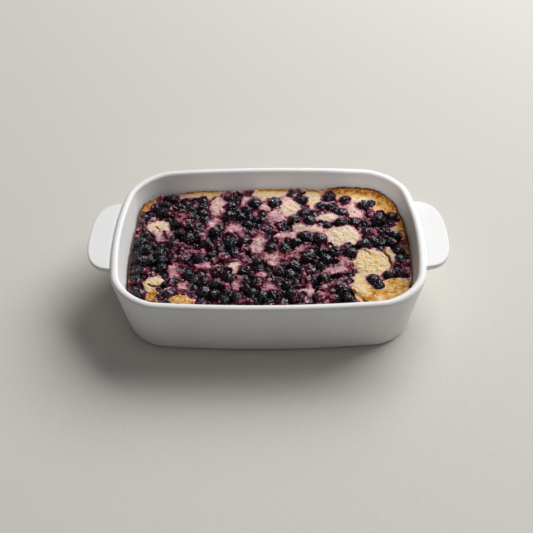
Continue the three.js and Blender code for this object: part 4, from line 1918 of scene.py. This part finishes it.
@dataclass
class BerryPile:
    """The fine berries: wrinkled, partly collapsed, some with their crown showing.

    Attributes:
        cobbler: The batter that they lie in.
        flatness: Height of a berry as a share of its width.
        point_count: Points on a berry.
        sunken_point_count: Points on a sunken one.
        lumpiness: Height of its lumps, in radii.
        collapse: How deep the dent of a collapsed berry is, in radii.
        crown_pit: Depth of the pit under a crown, in radii.
        crease: Depth of the main wrinkles, in radii.
        crease_size: Distance between them, in radii.
        wrinkle: Depth of the fine wrinkles, in radii.
        wrinkle_size: Distance between them, in radii.
        valley: How wide the valleys of both are, as a share of the noise.
        wander: How far the wrinkles wander, in radii.
        film_span: The least and the most crumb film on a berry of the close cover.
        film_alone: The crumb film on a berry that stands alone.
        clear_alone: How much further out of the film such a berry is, in radii.
        crown_share: The share of berries whose crown shows.
        crown_radius: Radius of a crown, in radii of its berry.
        crown_steps: Steps round a crown.
        crown_profile: Points of its section, as distance out and height in its own radii.
        noise: Its unevenness.
    """

    cobbler: Cobbler
    flatness: float = 0.87
    point_count: int = 1500
    sunken_point_count: int = 560
    lumpiness: float = 0.15
    collapse: float = 0.4
    crown_pit: float = 0.16
    crease: float = 0.27
    crease_size: float = 0.56
    wrinkle: float = 0.19
    wrinkle_size: float = 0.33
    valley: float = 0.3
    wander: float = 0.14
    film_span: tuple[float, float] = (-0.6, 0.1)
    film_alone: float = -0.25
    clear_alone: float = 0.15
    crown_share: float = 0.4
    crown_radius: float = 0.3
    crown_steps: int = 30
    crown_profile: tuple[tuple[float, float], ...] = (
        (0.62, -0.1),
        (0.86, 0.1),
        (1.16, 0.2),
        (1.12, 0.06),
        (0.84, -0.08),
        (0.66, -0.24),
    )
    noise: Noise = Noise(31)

    def unit_ball(self, count: int) -> Plan:
        """Evenly spread points on a ball of radius 1, and the triangles between them.

        Args:
            count: How many points there are.

        Returns:
            The points and the triangles.
        """
        order = np.arange(count) + 0.5
        polar = np.arccos(1 - 2 * order / count)
        around = math.pi * (1 + 5**0.5) * order
        points = np.stack(
            [np.cos(around) * np.sin(polar), np.sin(around) * np.sin(polar), np.cos(polar)], axis=-1
        )
        hull = bmesh.new()
        for point in points:
            hull.verts.new(point)
        hull.verts.index_update()
        bmesh.ops.convex_hull(hull, input=hull.verts)
        bmesh.ops.triangulate(hull, faces=hull.faces)
        return points, take_triangles(hull)

    def directions(self, rng: np.random.Generator, count: int, flat: float) -> Array:
        """Draws unit directions that look mostly upwards."""
        found = rng.normal(size=(count, 3)) * np.array([0.6, 0.6, 0.4]) + np.array([0, 0, 0.9 - flat])
        return found / np.linalg.norm(found, axis=1, keepdims=True)

    def draw_looks(self, berries: list[Berry], rng: np.random.Generator) -> BerryLooks:
        """Draws what differs from berry to berry.

        Args:
            berries: The berries of a piece.
            rng: Source of the differences.

        Returns:
            Their looks.
        """
        count = len(berries)
        x, y = np.array([(berry.x, berry.y) for berry in berries]).T
        alone = np.array([(berry.x, berry.y, berry.radius) in SINGLE_BERRIES for berry in berries])
        dent_at = self.directions(rng, count, 0.35)
        crown_at = self.directions(rng, count, 0.1)
        dented = rng.random(count)
        crowned = rng.random(count) < self.crown_share
        tone = rng.random(count)
        film = rng.uniform(*self.film_span, count) + 0.5 * self.cobbler.crumbly(x, y)
        film = np.where(alone, self.film_alone, film)
        offset = rng.uniform(-50, 50, (count, 3))
        return BerryLooks(dent_at, crown_at, dented, crowned, tone, film, offset, alone)

    def relief(self, spots: Array) -> Array:
        """Wrinkles of the skin: rounded bulges between sharp valleys, in radii.

        Args:
            spots: Places on the berries, in radii, far apart for different berries.

        Returns:
            How far the skin stands out.
        """
        shifts = [self.noise.smooth(spots + shift, 0.7) for shift in (40, 60, 80)]
        warped = spots + self.wander * np.stack(shifts, axis=-1)
        coarse = 1 - np.exp(-np.abs(self.noise.smooth(warped, self.crease_size)) / self.valley)
        fine = 1 - np.exp(-np.abs(self.noise.smooth(warped + 9, self.wrinkle_size)) / self.valley)
        return self.crease * (coarse - 0.5) + self.wrinkle * (fine - 0.5)

    def shape(self, berries: list[Berry], looks: BerryLooks, unit: Array, spots: Array) -> Array:
        """Shapes the berries and sets them down in their places.

        Args:
            berries: The berries of a piece.
            looks: What differs between them.
            unit: Points of a ball of radius 1.
            spots: The same points for each berry, moved to its place in the noise.

        Returns:
            The points of each berry.
        """
        dented = looks.dented[:, None]
        from_dent = np.arccos(np.clip(np.einsum("pk,bk->bp", unit, looks.dent_at), -1, 1))
        dent = (bell(from_dent, 0.6) - 0.3 * bell(from_dent - 0.85, 0.22)) * dented
        from_crown = np.arccos(np.clip(np.einsum("pk,bk->bp", unit, looks.crown_at), -1, 1))
        pit = bell(from_crown, 0.28) * looks.crowned[:, None]
        lumps = self.noise.smooth(spots + 21, 1.1)
        size = 1 + self.lumpiness * lumps - self.collapse * dent - self.crown_pit * pit
        size = size + self.relief(spots) * (0.55 + 0.45 * dented) * (1 - 0.6 * pit)
        size = size / np.maximum(np.quantile(size, 0.9, axis=1, keepdims=True), TINY)
        sides = np.stack([(berry.stretch, 1 / berry.stretch, self.flatness) for berry in berries])
        radius = np.array([berry.radius for berry in berries])
        bodies = unit[None] * size[..., None] * sides[:, None] * radius[:, None, None]
        middles = np.array([(berry.x, berry.y, berry.z) for berry in berries])
        return set_down(bodies, np.array([berry.turn for berry in berries]), middles)

    def film(self, berries: list[Berry], looks: BerryLooks, places: Array, spots: Array) -> Array:
        """How much crumb film lies on the skin: most where a berry leaves the batter.

        Args:
            berries: The berries of a piece.
            looks: What differs between them.
            places: The points of each berry.
            spots: Their places in the noise.

        Returns:
            The film at each point, from 0 to 1.
        """
        x, y, radius = np.array([(berry.x, berry.y, berry.radius) for berry in berries]).T
        level = self.cobbler.batter.height(x, y)[:, None]
        above = (places[..., 2] - level) / radius[:, None]
        above = above + np.where(looks.alone, self.clear_alone, 0.0)[:, None]
        waterline = 1 - ease(-0.05, 0.42, above + 0.15 * self.noise.smooth(spots + 3, 0.5))
        scattered = looks.film[:, None] + 0.35 * self.noise.smooth(spots + 5, 0.8)
        return np.clip(np.maximum(waterline * 0.9, scattered), 0, 1)

    def build_kind(
        self, name: str, berries: list[Berry], seed: int, skin: BerrySkin, nodes: list[str], points: int
    ) -> None:
        """Builds one joined piece of berries and dresses it.

        Args:
            name: The piece's name.
            berries: The berries in it.
            seed: Seed of their wrinkles.
            skin: Their finish.
            nodes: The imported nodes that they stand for.
            points: Points on a berry.
        """
        rng = np.random.default_rng(seed)
        unit, triangles = self.unit_ball(points)
        looks = self.draw_looks(berries, rng)
        spots = unit[None] + looks.offset[:, None]
        places = self.shape(berries, looks, unit, spots)
        maker = MeshMaker()
        film = self.film(berries, looks, places, spots)
        maker.triangles(maker.add(places, tone=looks.tone[:, None], film=film), triangles)
        self.add_crowns(maker, berries, looks, rng)
        dress(maker.finish(name), skin.material(), nodes)

    def add_crowns(
        self, maker: MeshMaker, berries: list[Berry], looks: BerryLooks, rng: np.random.Generator
    ) -> None:
        """Adds the little five-pointed crowns.

        Args:
            maker: The mesh that they join.
            berries: The berries of the piece.
            looks: What differs between them.
            rng: Source of the small differences.
        """
        around = np.linspace(0, 2 * math.pi, self.crown_steps, endpoint=False)
        for index in np.flatnonzero(looks.crowned):
            berry = berries[index]
            size = berry.radius * self.crown_radius * rng.uniform(0.85, 1.15)
            star = 1 + 0.16 * np.cos(5 * (around + rng.uniform(0, math.pi)))
            star = star + 0.05 * np.sin(3 * around + rng.uniform(0, math.pi))
            rings = []
            for across, up in self.crown_profile:
                reach = across * (star if across > 0.8 else np.ones_like(around)) * size
                rise = np.full_like(around, up * size) + (0.22 * size * (star - 1) if across > 1 else 0)
                rings.append(np.stack([reach * np.cos(around), reach * np.sin(around), rise], axis=-1))
            out = Vector(looks.crown_at[index])
            turn = Matrix.Rotation(berry.turn, 3, "Z") @ out.to_track_quat("Z", "Y").to_matrix()
            scaled = Vector((out.x * berry.stretch, out.y / berry.stretch, out.z * self.flatness))
            seat = Matrix.Rotation(berry.turn, 3, "Z") @ scaled * (berry.radius * 0.93)
            placed = np.array(rings) @ np.array(turn).T + np.array(seat) + (berry.x, berry.y, berry.z)
            loops = [maker.add(ring, tone=np.array(0.3), film=np.array(0.1)) for ring in placed]
            for low, high in zip(loops, loops[1:] + loops[:1]):
                maker.band(low, high)

    def build(self) -> None:
        """Builds all the berries: the loose ones, the baked-in ones in two halves, and the sunken ones."""
        layout = self.cobbler.layout
        nodes = [f"berry_{number:02d}" for number in range(1, layout.loose_count + 1)]
        by_x = sorted(layout.fused, key=lambda berry: berry.x)
        half = len(by_x) // 2
        many, few = self.point_count, self.sunken_point_count
        self.build_kind("plump_berries", layout.loose, 11, BerrySkin("plump_skin"), nodes, many)
        self.build_kind("baked_in_berries_left", by_x[:half], 12, BerrySkin("baked_in_skin_left"), [], many)
        self.build_kind("baked_in_berries_right", by_x[half:], 14, BerrySkin("baked_in_skin_right"), [], many)
        self.build_kind("sunken_berries", layout.fillers, 13, BerrySkin("sunken_skin"), [], few)


@dataclass(frozen=True)
class ChipKind:
    """One kind of small uneven chips that lie on the batter.

    Attributes:
        name: The piece's name.
        count: How many there are at most.
        radii: Their smallest and largest radius.
        flat: Their height as a share of their width.
        place_seed: Seed of their places.
        shape_seed: Seed of their shapes.
        stains: The least and the most stained batter that they lie on.
        finish: Their finish.
    """

    name: str
    count: int
    radii: tuple[float, float]
    flat: float
    place_seed: int
    shape_seed: int
    stains: tuple[float, float]
    finish: PlainFinish


@dataclass
class Scatterings:
    """Loose crumbs and burnt specks on the batter.

    Attributes:
        cobbler: The batter that they lie on.
        size_seed: Seed of their sizes.
        tries: How many places are drawn for each of them.
        edge_room: Their least distance from the batter's edge.
        berry_room: Their least distance from a berry.
        raised: How far their middles lie above the batter, in their own half heights.
        kinds: The kinds of chips.
    """

    cobbler: Cobbler
    size_seed: int = 3
    tries: int = 12
    edge_room: float = 3.0
    berry_room: float = 0.6
    raised: float = 0.35
    kinds: tuple[ChipKind, ...] = (
        ChipKind(
            name="crumbs",
            count=420,
            radii=(0.3, 0.75),
            flat=0.8,
            place_seed=71,
            shape_seed=72,
            stains=(0.3, 0.75),
            finish=PlainFinish("pale_crumb", srgb(226, 186, 150), srgb(188, 126, 120), 6.0, 0.8),
        ),
        ChipKind(
            name="burnt_specks",
            count=34,
            radii=(0.22, 0.6),
            flat=0.4,
            place_seed=81,
            shape_seed=82,
            stains=(-1.0, 0.3),
            finish=PlainFinish("burnt_speck", srgb(48, 26, 22), srgb(70, 52, 30), 4.0, 0.6),
        ),
    )

    def pick(self, kind: ChipKind) -> Plan:
        """Draws places for a kind of chips, clear of the berries and the wall.

        Args:
            kind: The kind of chips.

        Returns:
            The places along and across the dish.
        """
        rng = np.random.default_rng(kind.place_seed)
        form = self.cobbler.batter.form
        x, y = (rng.uniform(-0.5, 0.5, kind.count * self.tries) * side for side in (form.length, form.width))
        _, values = self.cobbler.surface(x, y)
        near, _ = self.cobbler.berry_gaps(x, y)
        fits = (self.cobbler.batter.depth(x, y) > self.edge_room) & (near > self.berry_room)
        fits &= (values["stain"] > kind.stains[0]) & (values["stain"] < kind.stains[1])
        found = np.flatnonzero(fits)[: kind.count]
        return x[found], y[found]

    def chips(self, kind: ChipKind, x: Array, y: Array, size: Array) -> bpy.types.Object:
        """Builds the chips of one kind.

        Args:
            kind: The kind.
            x: Their places along the dish.
            y: Their places across it.
            size: Their radii.

        Returns:
            The chips as one piece.
        """
        count = len(x)
        rng = np.random.default_rng(kind.shape_seed)
        ball = bmesh.new()
        bmesh.ops.create_icosphere(ball, subdivisions=2, radius=1.0)
        ball.verts.index_update()
        unit = np.array([vert.co[:] for vert in ball.verts])
        triangles = take_triangles(ball)
        spots = unit[None] + rng.uniform(-40, 40, (count, 1, 3))
        uneven = 1 + 0.35 * Noise(kind.shape_seed).smooth(spots, 0.9)
        sides = (rng.uniform(0.7, 1.4, count), rng.uniform(0.7, 1.1, count), np.full(count, kind.flat))
        bodies = unit[None] * uneven[..., None] * np.stack(sides, axis=-1)[:, None] * size[:, None, None]
        height, _ = self.cobbler.surface(x, y)
        middles = np.stack([x, y, height + self.raised * kind.flat * size], axis=-1)
        maker = MeshMaker()
        places = set_down(bodies, rng.uniform(0, math.pi, count), middles)
        maker.triangles(maker.add(places), triangles)
        return maker.finish(kind.name)

    def build(self) -> None:
        """Builds the crumbs and the specks."""
        rng = np.random.default_rng(self.size_seed)
        for kind in self.kinds:
            x, y = self.pick(kind)
            chips = self.chips(kind, x, y, rng.uniform(*kind.radii, len(x)))
            dress(chips, kind.finish.material(), [])


def aim_light(light: bpy.types.Light, place: Floats, aim: Floats) -> bpy.types.Object:
    """Hangs a light so that it looks at a point.

    Args:
        light: The light.
        place: Its place in millimetres.
        aim: The point that it looks at.

    Returns:
        The object that holds the light.
    """
    lamp = bpy.data.objects.new(light.name, light)
    lamp.location = Vector(place) * MM
    look = Vector(aim) * MM - lamp.location
    lamp.rotation_euler = look.to_track_quat("-Z", "Y").to_euler()
    bpy.context.scene.collection.objects.link(lamp)
    return lamp


@dataclass(frozen=True)
class SoftLamp:
    """A soft rectangular light that looks at the middle of the dish.

    Attributes:
        name: Its name.
        place: Its place.
        sides: Its sides.
        power: Its power in watts.
    """

    name: str
    place: Triple
    sides: tuple[float, float]
    power: float

    def hang(self) -> None:
        """Makes the light."""
        light = bpy.data.lights.new(self.name, "AREA")
        light.shape = "RECTANGLE"
        light.size, light.size_y = (side * MM for side in self.sides)
        light.energy = self.power
        aim_light(light, self.place, (0.0, 0.0, 0.0))


@dataclass(frozen=True)
class Beam:
    """A narrow light that brightens one part of the dish.

    Attributes:
        name: Its name.
        place: Its place.
        aim: The point that it looks at.
        angle: Its angle along its length, in degrees.
        flatness: Its height as a share of its length.
        power: Its power in watts.
        radius: Radius of its source.
    """

    name: str
    place: Triple
    aim: Triple
    angle: float
    flatness: float
    power: float
    radius: float = 20.0

    def hang(self) -> None:
        """Makes the light."""
        light = bpy.data.lights.new(self.name, "SPOT")
        light.energy = self.power
        light.spot_size = math.radians(self.angle)
        light.spot_blend = 1.0
        light.shadow_soft_size = self.radius * MM
        aim_light(light, self.place, self.aim).scale = (1.0, self.flatness, 1.0)


@dataclass(frozen=True)
class Studio:
    """The pale floor, the soft light and the camera.

    Attributes:
        eye: The camera's place.
        aim: The point that it looks at.
        roll: How far it is turned about its view, in degrees.
        lens: Its focal length for a sensor of sensor_width.
        sensor_width: Width of its sensor.
        clip: The nearest and farthest that it sees.
        floor_size: Side of the floor.
        stone: Finish of the floor.
        room_colour: Colour of the surroundings.
        room_strength: Their brightness.
        lamps: The large window light and the weak overhead one.
        beams: The narrow lights.
    """

    eye: Triple = (3.95, -525.5, 519.4)
    aim: Triple = (-2.02, 18.45, 0.0)
    roll: float = -0.907
    lens: float = 54.11
    sensor_width: float = 36.0
    clip: tuple[float, float] = (20.0, 50000.0)
    floor_size: float = 12000.0
    stone: PlainFinish = PlainFinish("pale_floor", srgb(216, 213, 207), srgb(213, 210, 203), 3.0, 0.75)
    room_colour: Floats = (1.0, 0.97, 0.935, 1.0)
    room_strength: float = 0.085
    lamps: tuple[SoftLamp, ...] = (
        SoftLamp("window", (1631.0, 1877.0, 2319.0), (3200.0, 2200.0), 150.0),
        SoftLamp("ceiling", (-100.0, -500.0, 2600.0), (1800.0, 1800.0), 5.0),
    )
    beams: tuple[Beam, ...] = (
        Beam("back_wall_beam", (0.0, -913.0, 515.0), (0.0, 84.0, 50.0), 16.6, 0.106, 8.8),
        Beam("back_crust_beam", (20.0, -250.0, 1700.0), (20.0, 76.0, 42.0), 7.6, 0.14, 44.0),
        Beam("back_corner_beam", (-300.0, -400.0, 1650.0), (100.0, 61.0, 42.0), 3.3, 1.0, 52.0),
    )

    def floor(self) -> None:
        """Lays the floor."""
        half = self.floor_size / 2
        maker = MeshMaker()
        corners = np.array([[-half, -half, 0], [half, -half, 0], [half, half, 0], [-half, half, 0]])
        maker.cap(maker.add(corners), True)
        floor = maker.finish("floor")
        floor.data.materials.append(self.stone.material())

    def lights(self) -> None:
        """Hangs the lights and sets the soft surroundings."""
        for light in (*self.lamps, *self.beams):
            light.hang()
        world = bpy.data.worlds.new("soft_room")
        world.use_nodes = True
        room = world.node_tree.nodes["Background"]
        room.inputs["Color"].default_value = self.room_colour
        room.inputs["Strength"].default_value = self.room_strength
        bpy.context.scene.world = world

    def camera(self) -> None:
        """Sets the camera at the viewing angle."""
        data = bpy.data.cameras.new("camera")
        data.lens = self.lens
        data.sensor_width = self.sensor_width
        data.clip_start, data.clip_end = (distance * MM for distance in self.clip)
        camera = bpy.data.objects.new("camera", data)
        eye = Vector(self.eye) * MM
        look = (Vector(self.aim) * MM - eye).to_track_quat("-Z", "Y").to_matrix().to_4x4()
        roll = Matrix.Rotation(math.radians(self.roll), 4, "Z")
        camera.matrix_world = Matrix.Translation(eye) @ look @ roll
        bpy.context.scene.collection.objects.link(camera)
        bpy.context.scene.camera = camera

    def build(self) -> None:
        """Sets up the whole studio."""
        self.floor()
        self.lights()
        self.camera()
        bpy.context.scene.view_settings.view_transform = "Standard"


def main() -> None:
    """Builds the camera first, then the dish, the cobbler and what lies on it."""
    logging.basicConfig(level=logging.INFO, format="%(message)s")
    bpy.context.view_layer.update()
    Studio().build()
    form = DishForm()
    BakingDish(form).build(GlazedCeramic())
    batter = BatterForm(form)
    layout = BerryLayout(batter)
    layout.lay()
    layout.check_nodes()
    cobbler = Cobbler(batter, layout)
    cobbler.build(BakedBatter())
    BerryPile(cobbler).build()
    Scatterings(cobbler).build()
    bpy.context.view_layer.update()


if __name__ == "__main__":
    main()
